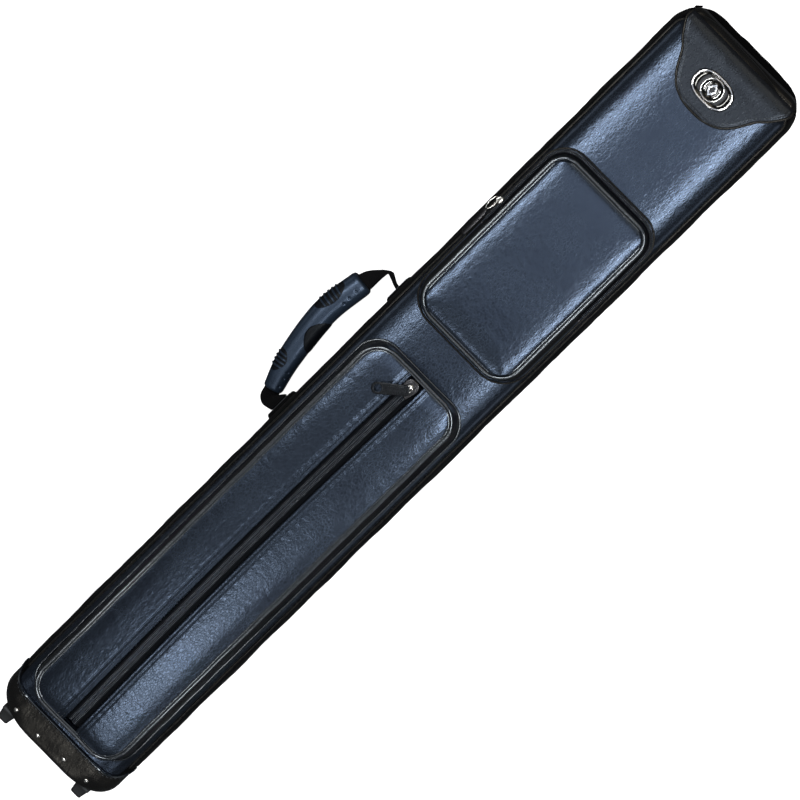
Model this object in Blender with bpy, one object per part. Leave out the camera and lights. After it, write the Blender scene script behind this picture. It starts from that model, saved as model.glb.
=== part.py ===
"""Cue case: a long hard case for two-piece cues, lying on its back panel.

Lengths are in millimetres. X runs across the case with the handle at -X, S runs along it
from the bottom cap's end face (S = 0) to the lid, and Z runs from the back panel's outer
face (Z = 0) out through the front. The world's +Y is S, and the world's origin is the
middle of the back face, CENTRE_S from the cap's end.
"""

import math

import bmesh
import bpy
from mathutils import Matrix, Vector
from mathutils.geometry import interpolate_bezier

MM = 0.001
GAP = 0.3

# The whole case.
CENTRE_S = 437.0
MOUTH_S = 861.0
BODY_FRONT_Z = 86.0
BAND_HALF = 69.0
SEAM_HALF = 62.9
PANEL_BACK_Z = 71.3

# The rigid inner box, its cue tubes and its plates.
CORE_HALF = 59.0
CORE_Z = (5.4, 71.0)
CORE_WALL = 2.4
CORE_S = (12.0, 860.5)
BUTT_RADII = (17.5, 16.2)
BUTT_X = (-36.6, 0.0, 36.6)
BUTT_Z = 25.6
SHAFT_RADII = (12.3, 11.2)
SHAFT_X = (-40.8, -13.6, 13.6, 40.8)
SHAFT_Z = 56.0
TUBE_S = (22.0, 859.6)
TUBE_CLEARANCE = 0.35
COLLAR_S = (849.6, 859.6)

# The bottom cap, its rivets and its feet.
CAP_HALF = 68.3
CAP_FRONT_Z = 88.6
CAP_CORNER = 20.0
CAP_RIM_S = 40.0
CAP_FRONT_RIM_S = 25.8
CAP_WALL = 2.0
RIVET_S = 9.4
RIVET_X = (-43.2, -13.6, 17.6, 44.8)
FOOT_X = 46.4
FOOT_Z = (18.0, 70.0)
FOOT_HEIGHT = 11.2
FOOT_BASE = 14.6
FOOT_TIP = 10.6

# The back rim, the lid and the flap.
ARCH_S = 874.0
ARCH_CORNER = 30.0
RIM_TOP_Z = 14.0
LID_HINGE = (0.0, 869.5, 14.4)
LID_FRONT_S = 869.9
FOLD_S = 863.9
FOLD_HALF = 59.4
FLAP_Z = (86.4, 88.9)
FLAP_TIP_S = 802.6
FLAP_HINGE = (0.0, 863.9, 87.6)
BADGE = (-1.2, 827.7)
BADGE_HALF = (20.0, 13.5)

# The upper pocket.
UPPER_BASE = (-58.4, 58.4, 519.5, 710.5)
UPPER_RADII = (27.0, 27.0, 22.0, 22.0)
UPPER_FOLD_S = 614.5
UPPER_ZIP_Z = 97.2
UPPER_WALL_TOP_Z = 106.8
UPPER_FACE_Z = 111.2
UPPER_SLIDER_S = 636.0

# The lower pocket.
LOWER_BASE = (-57.0, 57.0, 36.0, 481.6)
LOWER_TOP = (-52.4, 51.8, 43.0, 481.0)
LOWER_CORNER = 23.0
LOWER_WALL_TOP_Z = 109.6
LOWER_FACE_Z = (109.9, 112.7)
ZIP_X = -1.8
ZIP_S = (47.2, 474.0)
LOWER_SLIDER_S = (460.5, 477.5)
PULL_ANGLE = math.radians(50.0)

# Welts (piping) and walls of the pockets.
WELT_R = 1.7
POCKET_WALL = 2.6

# The carry handle.
HANDLE_AXIS = (-75.0, 434.0, 28.0)
GRIP_LINE = ((-96.9, 489.0), (-102.0, 445.0), (-95.6, 394.5), (-86.5, 363.0))
GRIP_HALF_WIDTH = (11.8, 12.2, 11.1, 9.0)
GRIP_HALF_DEPTH = (10.0, 11.2, 10.8, 9.0)
GRIP_Z = 12.2
INSERT_S = 425.5
INSERT_HALF = 19.0
WEB_THICK = 2.2
ANCHOR_X = (-69.4, -71.0)


def clear_scene():
    for found in list(bpy.data.objects):
        bpy.data.objects.remove(found, do_unlink=True)


def make_material(name, colour, roughness, metallic=0.0):
    made = bpy.data.materials.new(name)
    made.use_nodes = True
    shader = made.node_tree.nodes["Principled BSDF"]
    shader.inputs["Base Color"].default_value = (*colour, 1.0)
    shader.inputs["Roughness"].default_value = roughness
    shader.inputs["Metallic"].default_value = metallic
    return made


def world(x, s, z):
    return Vector((x, s - CENTRE_S, z)) * MM


# ---------------------------------------------------------------- mesh helpers


def finish_mesh(name, mesh_data, material, pivot=None):
    """Makes the object from a bmesh, with its origin at pivot (x, s, z)."""
    bmesh.ops.recalc_face_normals(mesh_data, faces=mesh_data.faces)
    mesh = bpy.data.meshes.new(name)
    mesh_data.to_mesh(mesh)
    mesh_data.free()
    made = bpy.data.objects.new(name, mesh)
    bpy.context.collection.objects.link(made)
    if material:
        mesh.materials.append(material)
    mesh.shade_smooth()
    mesh.set_sharp_from_angle(angle=math.radians(35.0))
    if pivot:
        set_origin(made, pivot)
    return made


def set_origin(made, pivot):
    place = world(*pivot)
    made.data.transform(Matrix.Translation(-place))
    made.location = place


def loft(name, sections, material, pivot=None, closed=False):
    """A skin over rings of points (x, s, z), capped at both ends unless closed on itself."""
    mesh_data = bmesh.new()
    rings = [[mesh_data.verts.new(world(*point)) for point in ring] for ring in sections]
    count = len(rings[0])
    pairs = list(zip(rings, rings[1:]))
    if closed:
        pairs.append((rings[-1], rings[0]))
    for first, second in pairs:
        for i in range(count):
            j = (i + 1) % count
            mesh_data.faces.new((first[i], first[j], second[j], second[i]))
    if not closed:
        mesh_data.faces.new(rings[0])
        mesh_data.faces.new(rings[-1])
    return finish_mesh(name, mesh_data, material, pivot)


def prism(name, outline, low, high, material, axis="Z", pivot=None):
    """An outline pushed along one axis: (x, s) along Z, (x, z) along S or (s, z) along X."""
    place = {
        "Z": lambda a, b, level: (a, b, level),
        "S": lambda a, b, level: (a, level, b),
        "X": lambda a, b, level: (level, a, b),
    }[axis]
    sections = [[place(a, b, level) for a, b in outline] for level in (low, high)]
    return loft(name, sections, material, pivot)


def tube(name, points, radius, material, closed=False, pivot=None):
    """A round cord along points (x, s, z)."""
    curve = bpy.data.curves.new(name, "CURVE")
    curve.dimensions = "3D"
    curve.bevel_depth = radius * MM
    curve.bevel_resolution = 2
    curve.use_fill_caps = True
    spline = curve.splines.new("POLY")
    spline.points.add(len(points) - 1)
    for target, point in zip(spline.points, points):
        target.co = (*world(*point), 1.0)
    spline.use_cyclic_u = closed
    made = bpy.data.objects.new(name, curve)
    bpy.context.collection.objects.link(made)
    curve.materials.append(material)
    if pivot:
        set_origin(made, pivot)
    return made


def cut(made, cutter):
    """Takes the cutter's shape out of an object."""
    cutter.hide_render = True
    cutter.display_type = "WIRE"
    modifier = made.modifiers.new("Cut", "BOOLEAN")
    modifier.operation = "DIFFERENCE"
    modifier.object = cutter


def box_outline(x0, x1, s0, s1):
    return [(x0, s0), (x1, s0), (x1, s1), (x0, s1)]


def rounded_box(box, radii, steps=5):
    """The outline of a box whose corners (low left, low right, high right, high left) are arcs."""
    x0, x1, s0, s1 = box
    corners = ((x0, s0, 1, 1), (x1, s0, -1, 1), (x1, s1, -1, -1), (x0, s1, 1, -1))
    outline = []
    for quarter, ((x, s, to_x, to_s), radius) in enumerate(zip(corners, radii)):
        radius = max(radius, 0.2)
        for step in range(steps + 1):
            angle = math.pi * (1.0 + quarter / 2.0) + math.pi / 2.0 * step / steps
            outline.append(
                (
                    x + to_x * radius + radius * math.cos(angle),
                    s + to_s * radius + radius * math.sin(angle),
                )
            )
    return outline


def inset_box(box, inset):
    x0, x1, s0, s1 = box
    return (x0 + inset, x1 - inset, s0 + inset, s1 - inset)


def blended_box(first, second, part):
    return tuple(a + (b - a) * part for a, b in zip(first, second))


def layer(box, radii, inset, z, steps=5):
    """One ring of a stacked shape: the box pulled in by inset, at height z."""
    smaller = [max(radius - inset, 0.4) for radius in radii]
    return [(x, s, z) for x, s in rounded_box(inset_box(box, inset), smaller, steps)]


def disc(name, centre, radius, low, high, material, pivot=None, steps=24):
    x, s = centre
    turns = [2.0 * math.pi * i / steps for i in range(steps)]
    outline = [(x + radius * math.cos(a), s + radius * math.sin(a)) for a in turns]
    return prism(name, outline, low, high, material, pivot=pivot)


def circle_at(x, z, radius, s, steps):
    turns = [2.0 * math.pi * i / steps for i in range(steps)]
    return [(x + radius * math.cos(a), s, z + radius * math.sin(a)) for a in turns]


def bezier(first, handle_a, handle_b, last, count):
    """Points on one cubic stretch, without its last point."""
    knots = [Vector((*point, 0.0)) for point in (first, handle_a, handle_b, last)]
    return [(p.x, p.y) for p in interpolate_bezier(*knots, count + 1)][:-1]


# ---------------------------------------------------------------- inner box and tubes


def core_box(material):
    """The rigid inner box, open at the mouth."""
    half, (z0, z1), (s0, s1), wall = CORE_HALF, CORE_Z, CORE_S, CORE_WALL

    def ring(inset, s):
        return [
            (-half + inset, s, z0 + inset),
            (half - inset, s, z0 + inset),
            (half - inset, s, z1 - inset),
            (-half + inset, s, z1 - inset),
        ]

    rings = [ring(0.0, s0), ring(0.0, s1), ring(wall, s1), ring(wall, s0 + 4.0)]
    loft("core_box", rings, material)


def cue_tube(name, x, z, radii, material, steps):
    """One tube with a closed bottom end and an open mouth."""
    outer, inner = radii
    s0, s1 = TUBE_S
    rings = [
        circle_at(x, z, outer, s0, steps),
        circle_at(x, z, outer, s1, steps),
        circle_at(x, z, inner, s1, steps),
        circle_at(x, z, inner, s0 + 1.5, steps),
    ]
    loft(name, rings, material)


def core_inside():
    """The outline (x, z) of a plate that fits across the inner box."""
    half = CORE_HALF - CORE_WALL - GAP
    return box_outline(-half, half, CORE_Z[0] + CORE_WALL + GAP, CORE_Z[1] - CORE_WALL - GAP)


def mouth_collar(cutters, material):
    """The foam plate at the mouth, bored for every tube."""
    made = prism("mouth_collar", core_inside(), *COLLAR_S, material, axis="S")
    for cutter in cutters:
        cut(made, cutter)


def insides(plastic, board, foam):
    core_box(board)
    cutters = []
    rows = (
        ("butt_tube", BUTT_X, BUTT_Z, BUTT_RADII, 24),
        ("shaft_tube", SHAFT_X, SHAFT_Z, SHAFT_RADII, 20),
    )
    for stem, places, z, radii, steps in rows:
        for number, x in enumerate(places, 1):
            cue_tube(f"{stem}_{number}", x, z, radii, plastic, steps)
            hole = radii[0] + TUBE_CLEARANCE
            rings = [circle_at(x, z, hole, s, steps) for s in (COLLAR_S[0] - 5.0, MOUTH_S)]
            cutters.append(loft(f"cutter_{stem}_{number}", rings, None))
    mouth_collar(cutters, foam)
    floor = CORE_S[0] + 4.0 + GAP
    prism("base_pad", core_inside(), floor, TUBE_S[0] - GAP, foam, axis="S")


# ---------------------------------------------------------------- body


def back_panel(material):
    """The flat back, with the arch of the case's top end."""
    box = (-61.0, 61.0, CAP_RIM_S + 0.5, ARCH_S - 2.0)
    radii = (1.0, 1.0, 26.0, 26.0)
    rings = [
        layer(box, radii, 1.2, 0.0),
        layer(box, radii, 0.0, 1.2),
        layer(box, radii, 0.0, 5.0),
    ]
    loft("back_panel", rings, material)


def back_rim(material):
    """The padded arch of band fabric behind the lid."""
    corner_x, corner_s = BAND_HALF - ARCH_CORNER, ARCH_S - ARCH_CORNER
    foot = MOUTH_S + 0.6

    def arch(inset):
        radius = ARCH_CORNER - inset
        start = math.asin((foot - corner_s) / radius)
        angles = [start + (math.pi / 2.0 - start) * i / 7 for i in range(8)]
        right = [
            (corner_x + radius * math.cos(a), corner_s + radius * math.sin(a)) for a in angles
        ]
        half = right[0][0]
        left = [(-x, s) for x, s in reversed(right)]
        return [(-half, MOUTH_S + GAP), (half, MOUTH_S + GAP), *right, *left]

    rings = []
    for z, inset in ((5.3, 1.4), (7.5, 0.0), (11.5, 0.0), (RIM_TOP_Z, 1.8)):
        rings.append([(x, s, z) for x, s in arch(inset)])
    loft("back_rim", rings, material)


def side_band(name, side, material):
    """The padded fabric band down one side of the case."""
    profile = (
        (59.4, 5.4),
        (62.0, 5.4),
        (66.0, 9.0),
        (68.4, 18.0),
        (BAND_HALF, 30.0),
        (BAND_HALF, 46.0),
        (67.6, 58.0),
        (65.0, 66.0),
        (62.6, 70.8),
        (59.4, 70.8),
    )
    centre = ARCH_S - ARCH_CORNER
    sections = []
    for s in (CAP_RIM_S + 0.5, 60.0, 300.0, 560.0, centre, 851.0, 856.0, MOUTH_S - 0.4):
        over = max(s - centre, 0.0)
        pull = ARCH_CORNER - math.sqrt(ARCH_CORNER**2 - over**2)
        if s < CAP_RIM_S + 5.0:
            pull = 0.9
        ring = []
        for x, z in profile:
            moved = max(x - pull * (x - 59.4) / (BAND_HALF - 59.4), 59.4)
            ring.append((side * moved, s, z))
        sections.append(ring)
    loft(name, sections, material)


def front_panel(material):
    """The padded front with its rolled-over long edges and the recess for the snap."""
    box = (-SEAM_HALF, SEAM_HALF, 13.0, MOUTH_S - 4.0)
    radii = (4.0, 4.0, 12.0, 12.0)
    levels = (
        (PANEL_BACK_Z, 0.0),
        (76.5, 0.0),
        (80.5, 1.6),
        (83.6, 4.4),
        (85.4, 7.8),
        (BODY_FRONT_Z, 10.4),
    )
    made = loft("front_panel", [layer(box, radii, inset, z) for z, inset in levels], material)
    cut(made, disc("cutter_keeper", BADGE, 9.4, BODY_FRONT_Z - 1.9, 92.0, None))


def snap_keeper(material):
    disc("snap_keeper", BADGE, 9.0, BODY_FRONT_Z - 1.6, BODY_FRONT_Z - 0.1, material)


# ---------------------------------------------------------------- bottom cap


def bottom_cap(material):
    """A cup over the case's bottom end, its front rim dipped between its sides."""

    def ring(s, wall):
        round_in = CAP_CORNER - wall
        depth = max(round_in - (s - wall), 0.0)
        pull = round_in - math.sqrt(max(round_in**2 - depth**2, 0.0))
        soft = max(3.0 - (s - wall), 0.0) * 0.6
        half = CAP_HALF - wall - pull
        low, high = wall + soft, CAP_FRONT_Z - wall - soft
        outline = rounded_box((-half, half, low, high), [7.0 - wall] * 4, 3)
        return [(x, s, z) for x, z in outline]

    depths = (0.0, 1.5, 4.0, 8.0, 13.0, CAP_CORNER, CAP_RIM_S)
    inner = (CAP_RIM_S, CAP_CORNER, 8.0, 4.0, CAP_WALL + 0.4)
    rings = [ring(s, 0.0) for s in depths] + [ring(s, CAP_WALL) for s in inner]
    made = loft("bottom_cap", rings, material)
    right = bezier((47.5, CAP_FRONT_RIM_S), (56.0, 26.0), (63.0, 31.5), (67.6, 39.0), 6)
    curve = right + [(67.6, 39.0), (80.0, 41.0), (80.0, 60.0)]
    left = [(-x, s) for x, s in reversed(curve)]
    cut(made, prism("cutter_cap_rim", left + curve, PANEL_BACK_Z + 0.6, 100.0, None))


def dome(name, x, s, z, radius, height, material):
    rings = []
    for step in range(4):
        angle = math.pi / 2.0 * step / 4.0
        reach, lift = radius * math.cos(angle), height * math.sin(angle)
        turns = [2.0 * math.pi * i / 14 for i in range(14)]
        rings.append([(x + reach * math.cos(a), s + reach * math.sin(a), z + lift) for a in turns])
    loft(name, rings, material)


def cap_rivets(material):
    for number, x in enumerate(RIVET_X, 1):
        dome(f"cap_rivet_{number}", x, RIVET_S, CAP_FRONT_Z + GAP, 1.9, 1.3, material)


def feet(material):
    """Four tapered rubber feet on the cap's end face."""
    for row, z in zip(("back", "front"), FOOT_Z):
        for side, x in (("left", -FOOT_X), ("right", FOOT_X)):
            rings = []
            for s, size in ((-GAP, FOOT_BASE), (-2.0, FOOT_BASE), (-FOOT_HEIGHT, FOOT_TIP)):
                half = size / 2.0
                outline = rounded_box((x - half, x + half, z - half, z + half), [2.5] * 4, 2)
                rings.append([(a, s, b) for a, b in outline])
            loft(f"foot_{row}_{side}", rings, material)


# ---------------------------------------------------------------- lid and flap


def lid(board, leather):
    """The lid's stiff board and the padded cover over it."""
    low, high = LID_HINGE[2] + 0.6, BODY_FRONT_Z - 1.0
    pivot = LID_HINGE
    outline = rounded_box((-58.0, 58.0, low, high), [3.0] * 4, 3)
    prism("lid_board", outline, MOUTH_S, MOUTH_S + 2.4, board, axis="S", pivot=pivot)
    rings = []
    for s, half, z0, z1 in (
        (MOUTH_S + 2.7, 60.6, low, 85.6),
        (MOUTH_S + 5.6, 59.4, low + 0.6, 84.0),
        (MOUTH_S + 7.8, 54.0, low + 2.4, 79.0),
        (LID_FRONT_S, 42.0, low + 6.0, 72.0),
    ):
        rings.append([(x, s, z) for x, z in rounded_box((-half, half, z0, z1), [5.0] * 4, 4)])
    loft("lid_cover", rings, leather, pivot=pivot)


def flap_outline():
    """From the fold down both sides in an S to the rounded tip."""
    side = [(FOLD_HALF, FOLD_S - 0.2), (FOLD_HALF + 0.8, 856.5)]
    side += bezier((FOLD_HALF - 0.8, 852.2), (53.6, 845.4), (43.0, 834.0), (36.6, 822.0), 6)
    side += bezier((36.6, 822.0), (31.0, 811.5), (22.0, 803.0), (8.0, FLAP_TIP_S), 6)
    return [(-x, s) for x, s in side] + [(x, s) for x, s in reversed(side)]


def top_flap(material):
    made = prism("top_flap", flap_outline(), *FLAP_Z, material, pivot=FLAP_HINGE)
    cutter = disc("cutter_magnet", BADGE, 8.9, FLAP_Z[0] - 4.0, FLAP_Z[0] + 1.6, None)
    cut(made, cutter)


def ellipse(centre, half, inset, z, steps=32):
    turns = [2.0 * math.pi * i / steps for i in range(steps)]
    across, along = half[0] - inset, half[1] - inset
    return [(centre[0] + across * math.cos(a), centre[1] + along * math.sin(a), z) for a in turns]


def badge(chrome):
    """An oval dished plate with a round medallion in it, and the snap's magnet behind."""
    base = FLAP_Z[1] + GAP
    levels = ((0.0, 0.0), (1.2, 0.0), (2.3, 0.7), (2.7, 1.9), (2.3, 3.2), (1.5, 4.2))
    rings = [ellipse(BADGE, BADGE_HALF, inset, base + lift) for lift, inset in levels]
    loft("badge_plate", rings, chrome, pivot=FLAP_HINGE)
    round_half = (8.8, 8.8)
    lifts = ((0.0, 0.0), (1.3, 0.2), (1.7, 0.9), (1.3, 1.7), (0.7, 2.1))
    floor = base + 1.5 + GAP
    rings = [ellipse(BADGE, round_half, inset, floor + lift, 28) for lift, inset in lifts]
    loft("badge_medallion", rings, chrome, pivot=FLAP_HINGE)


def snap_magnet(material):
    low = FLAP_Z[0] + 0.1
    disc("snap_magnet", BADGE, 8.5, low, low + 1.2, material, pivot=FLAP_HINGE)


# ---------------------------------------------------------------- upper pocket


def upper_u_path(inset, z, low_s):
    """A U round the pocket's top, from the left end at low_s to the right end at low_s."""
    radii = [max(radius - inset, 1.0) for radius in UPPER_RADII]
    outline = rounded_box(inset_box(UPPER_BASE, inset), radii, 8)
    upper = [(x, s) for x, s in outline if s > UPPER_FOLD_S + 5.0]
    upper.sort(key=lambda point: math.atan2(point[0], point[1] - UPPER_FOLD_S))
    left, right = UPPER_BASE[0] + inset, UPPER_BASE[1] - inset
    path = [(left, low_s), (left, 0.5 * (low_s + UPPER_BASE[3] - 31.0)), *upper, (right, low_s)]
    return [(x, s, z) for x, s in path]


def lower_u_path(inset, z, high_s):
    """A U round the pocket's bottom, from the left end at high_s to the right end."""
    radii = [max(radius - inset, 1.0) for radius in UPPER_RADII]
    outline = rounded_box(inset_box(UPPER_BASE, inset), radii, 8)
    lower = [(x, s) for x, s in outline if s < UPPER_FOLD_S - 5.0]
    lower.sort(key=lambda point: math.atan2(point[0], UPPER_FOLD_S - point[1]))
    left, right = UPPER_BASE[0] + inset, UPPER_BASE[1] - inset
    return [(x, s, z) for x, s in [(left, high_s), *lower, (right, high_s)]]


def upper_pocket_fixed(leather, welt):
    """The gusset all round, and the part of the face below the fold line."""
    wall = POCKET_WALL
    rings = [
        layer(UPPER_BASE, UPPER_RADII, 0.0, BODY_FRONT_Z + GAP),
        layer(UPPER_BASE, UPPER_RADII, 4.0, UPPER_WALL_TOP_Z),
        layer(UPPER_BASE, UPPER_RADII, 4.0 + wall, UPPER_WALL_TOP_Z),
        layer(UPPER_BASE, UPPER_RADII, wall, BODY_FRONT_Z + GAP),
    ]
    made = loft("upper_pocket_gusset", rings, leather, closed=True)
    top_half = box_outline(-70.0, 70.0, UPPER_FOLD_S, 725.0)
    cut(made, prism("cutter_gusset", top_half, UPPER_ZIP_Z - 0.2, 115.0, None))
    face = (*UPPER_BASE[:3], UPPER_FOLD_S - GAP + 7.3)
    radii = (UPPER_RADII[0], UPPER_RADII[1], 7.4, 7.4)
    rings = [
        layer(face, radii, 7.3, UPPER_WALL_TOP_Z + GAP),
        layer(face, radii, 7.3, UPPER_FACE_Z - 0.8),
        layer(face, radii, 9.5, UPPER_FACE_Z),
    ]
    loft("upper_pocket_lower_face", rings, leather)
    path = lower_u_path(5.2, UPPER_WALL_TOP_Z + WELT_R + GAP, UPPER_FOLD_S - GAP)
    tube("upper_piping_lower", path, WELT_R, welt)


def upper_pocket_cover(leather, welt, pivot):
    """The part of the pocket that the zipper frees, which folds up about the fold line."""
    low = UPPER_ZIP_Z + 0.2
    shelf = UPPER_WALL_TOP_Z
    rings = [
        layer(UPPER_BASE, UPPER_RADII, 8.0, shelf - 1.0),
        layer(UPPER_BASE, UPPER_RADII, 4.8, low),
        layer(UPPER_BASE, UPPER_RADII, 2.2, low),
        layer(UPPER_BASE, UPPER_RADII, 4.0, shelf),
        layer(UPPER_BASE, UPPER_RADII, 7.3, shelf + 0.1),
        layer(UPPER_BASE, UPPER_RADII, 7.3, UPPER_FACE_Z - 0.8),
        layer(UPPER_BASE, UPPER_RADII, 9.5, UPPER_FACE_Z),
    ]
    made = loft("upper_pocket_cover", rings, leather, pivot=pivot)
    lower_half = box_outline(-70.0, 70.0, 500.0, UPPER_FOLD_S + GAP)
    cut(made, prism("cutter_cover", lower_half, 90.0, 115.0, None))
    path = upper_u_path(5.2, shelf + WELT_R + GAP, UPPER_FOLD_S + GAP)
    tube("upper_piping_cover", path, WELT_R, welt, pivot=pivot)


def upper_zipper(coil, nickel, pivot):
    low = UPPER_FOLD_S + 2.0
    tube("upper_zip_coil_base", upper_u_path(0.5, UPPER_ZIP_Z - 1.5, low), 0.9, coil)
    cover_path = upper_u_path(0.5, UPPER_ZIP_Z + 1.3, low)
    tube("upper_zip_coil_cover", cover_path, 0.9, coil, pivot=pivot)
    for name, side in (("left", -1.0), ("right", 1.0)):
        outline = [
            (side * x, s) for x, s in box_outline(56.9, 59.2, UPPER_FOLD_S - 2.6, UPPER_FOLD_S - GAP)
        ]
        prism(f"upper_zip_stop_{name}", outline, 95.6, 98.8, nickel)


def upper_slider(nickel, steel):
    """The slider body on the left run, and its pull tab lying along the case's edge."""
    s = UPPER_SLIDER_S
    pivot = (-61.0, s, UPPER_ZIP_Z)
    outline = [
        (s - 5.0, 94.6),
        (s + 3.6, 93.6),
        (s + 5.4, 95.4),
        (s + 5.4, 98.8),
        (s + 3.6, 100.6),
        (s - 5.0, 99.6),
    ]
    prism("upper_slider", outline, -61.6, -59.2, nickel, axis="X", pivot=pivot)
    hinge = (-63.9, s - 2.0, 98.4)
    rings = []
    for along, half in ((-0.4, 1.8), (-9.0, 2.2), (-11.0, 3.2), (-38.0, 3.2), (-39.6, 2.4)):
        ring = []
        for a, b in ((-half, -0.8), (half, -0.8), (half, 0.8), (-half, 0.8)):
            turned = math.radians(48.0)
            drop = 0.045 * along
            x = hinge[0] - 0.03 * along - a * math.cos(turned) - b * math.sin(turned)
            z = hinge[2] + drop - a * math.sin(turned) + b * math.cos(turned)
            ring.append((x, hinge[1] + along, z))
        rings.append(ring)
    loft("upper_pull_tab", rings, steel, pivot=hinge)


# ---------------------------------------------------------------- lower pocket


def lower_layer(part, inset, z):
    box = blended_box(LOWER_BASE, LOWER_TOP, part)
    return layer(box, [LOWER_CORNER] * 4, inset, z)


def lower_pocket_walls(leather, welt):
    wall, low, high = POCKET_WALL, BODY_FRONT_Z + GAP, LOWER_WALL_TOP_Z
    rings = [
        lower_layer(0.0, 0.0, low),
        lower_layer(1.0, 0.0, high),
        lower_layer(1.0, wall + 1.0, high),
        lower_layer(0.0, wall, low),
    ]
    loft("lower_pocket_gusset", rings, leather, closed=True)
    face = layer(LOWER_TOP, [LOWER_CORNER] * 4, 1.6, LOWER_WALL_TOP_Z + WELT_R + GAP, 6)
    tube("lower_face_piping", face, WELT_R, welt, closed=True)
    base = layer(LOWER_BASE, [LOWER_CORNER] * 4, -1.8, BODY_FRONT_Z + 1.5 + GAP, 6)
    tube("lower_base_piping", base, 1.4, welt, closed=True)


def lower_panels(leather):
    """The face left and right of the zipper."""
    x0, x1, s0, s1 = inset_box(LOWER_TOP, 3.9)
    low, high = LOWER_FACE_Z
    corner = LOWER_CORNER - 3.9
    panels = (
        ("lower_panel_left", (x0, ZIP_X - 6.4, s0, s1), (corner, 1.0, 1.0, corner)),
        ("lower_panel_right", (ZIP_X + 6.7, x1, s0, s1), (1.0, corner, corner, 1.0)),
    )
    for name, box, radii in panels:
        rings = [layer(box, radii, 0.0, low), layer(box, radii, 0.0, high - 0.8)]
        rings.append(layer(box, radii, 0.9, high))
        loft(name, rings, leather)


def lower_zipper(tape, coil, nickel):
    low, high = LOWER_FACE_Z[0] + 0.1, LOWER_FACE_Z[0] + 0.9
    s0, s1 = ZIP_S
    for name, near, far in (("left", -4.5, -6.1), ("right", 4.5, 6.4)):
        x0, x1 = sorted((ZIP_X + near, ZIP_X + far))
        prism(f"lower_zip_tape_{name}", box_outline(x0, x1, s0, 476.8), low, high, tape)
    profile = [(-4.2, 0.0), (4.2, 0.0), (4.2, 1.0), (3.4, 1.7), (-3.4, 1.7), (-4.2, 1.0)]
    outline = [(ZIP_X + x, low + z) for x, z in profile]
    prism("lower_zip_coil", outline, s0 + 0.2, s1, coil, axis="S")
    top = box_outline(ZIP_X - 3.6, ZIP_X + 3.6, s1 + GAP, s1 + 2.9)
    prism("lower_zip_top_stop", top, low, low + 2.0, nickel)


def lower_slider(nickel, plastic):
    """The slider, the link on its bridge, and the moulded tab that swivels on the link."""
    s0, s1 = LOWER_SLIDER_S
    low = 112.2
    pivot = (ZIP_X, s0 + 5.0, low)
    outline = [
        (s0, low),
        (s1, low),
        (s1, low + 1.8),
        (s1 - 2.6, low + 3.2),
        (s0 + 3.6, low + 3.2),
        (s0, low + 1.8),
    ]
    prism("lower_slider", outline, ZIP_X - 6.2, ZIP_X + 6.2, nickel, axis="X", pivot=pivot)
    flip = (ZIP_X, s1 - 5.0, low + 4.2)
    link = rounded_box((ZIP_X - 2.4, ZIP_X + 2.4, s1 - 13.0, s1 - 4.3), [1.5, 1.5, 0.4, 0.4], 2)
    prism("lower_pull_link", link, flip[2] - 0.5, flip[2] + 0.5, nickel, pivot=flip)
    swivel = (ZIP_X, s1 - 10.0, flip[2])
    turn = Matrix.Rotation(-PULL_ANGLE, 2)
    tab = rounded_box((-5.4, 5.4, -30.3, 2.7), [5.2, 5.2, 3.0, 3.0], 5)
    placed = []
    for x, s in tab:
        moved = turn @ Vector((x, s))
        placed.append((swivel[0] + moved.x, swivel[1] + moved.y))
    made = prism("lower_pull_tab", placed, flip[2] + 0.8, flip[2] + 3.8, plastic, pivot=swivel)
    hole = turn @ Vector((0.0, -24.5))
    centre = (swivel[0] + hole.x, swivel[1] + hole.y)
    cut(made, disc("cutter_tab_hole", centre, 3.3, 108.0, 128.0, None, steps=18))


# ---------------------------------------------------------------- carry handle


def smooth_path(knots, steps):
    """Points of a Catmull-Rom curve through the knots, each a tuple of numbers."""
    ends = [tuple(2 * a - b for a, b in zip(knots[0], knots[1]))]
    ends += list(knots)
    ends.append(tuple(2 * a - b for a, b in zip(knots[-1], knots[-2])))
    path = []
    for i in range(1, len(ends) - 2):
        p0, p1, p2, p3 = ends[i - 1 : i + 3]
        last = i == len(ends) - 3
        for step in range(steps + last):
            t = step / steps
            path.append(
                tuple(
                    0.5 * (2 * b + (c - a) * t + (2 * a - 5 * b + 4 * c - d) * t * t
                           + (3 * b - a - 3 * c + d) * t**3)
                    for a, b, c, d in zip(p0, p1, p2, p3)
                )
            )
    return path


def grip_stations():
    """Centre (x, s), direction across towards the case, half width and half depth."""
    knots = [
        (x, s, wide, deep)
        for (x, s), wide, deep in zip(GRIP_LINE, GRIP_HALF_WIDTH, GRIP_HALF_DEPTH)
    ]
    path = smooth_path(knots, 5)
    stations = []
    for i, (x, s, wide, deep) in enumerate(path):
        before, after = path[max(i - 1, 0)], path[min(i + 1, len(path) - 1)]
        along = Vector((after[0] - before[0], after[1] - before[1])).normalized()
        stations.append((Vector((x, s)), Vector((-along.y, along.x)), wide, deep))
    return stations


def handle_grip(plastic):
    """The moulded grip, thickest at its middle."""
    rings = []
    for centre, across, wide, deep in grip_stations():
        ring = []
        for turn in range(16):
            angle = 2.0 * math.pi * turn / 16
            a = math.copysign(abs(math.cos(angle)) ** 0.8, math.cos(angle)) * wide
            b = math.copysign(abs(math.sin(angle)) ** 0.8, math.sin(angle)) * deep
            point = centre + across * a
            ring.append((point.x, point.y, GRIP_Z + b))
        rings.append(ring)
    loft("handle_grip", rings, plastic, pivot=HANDLE_AXIS)


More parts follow.
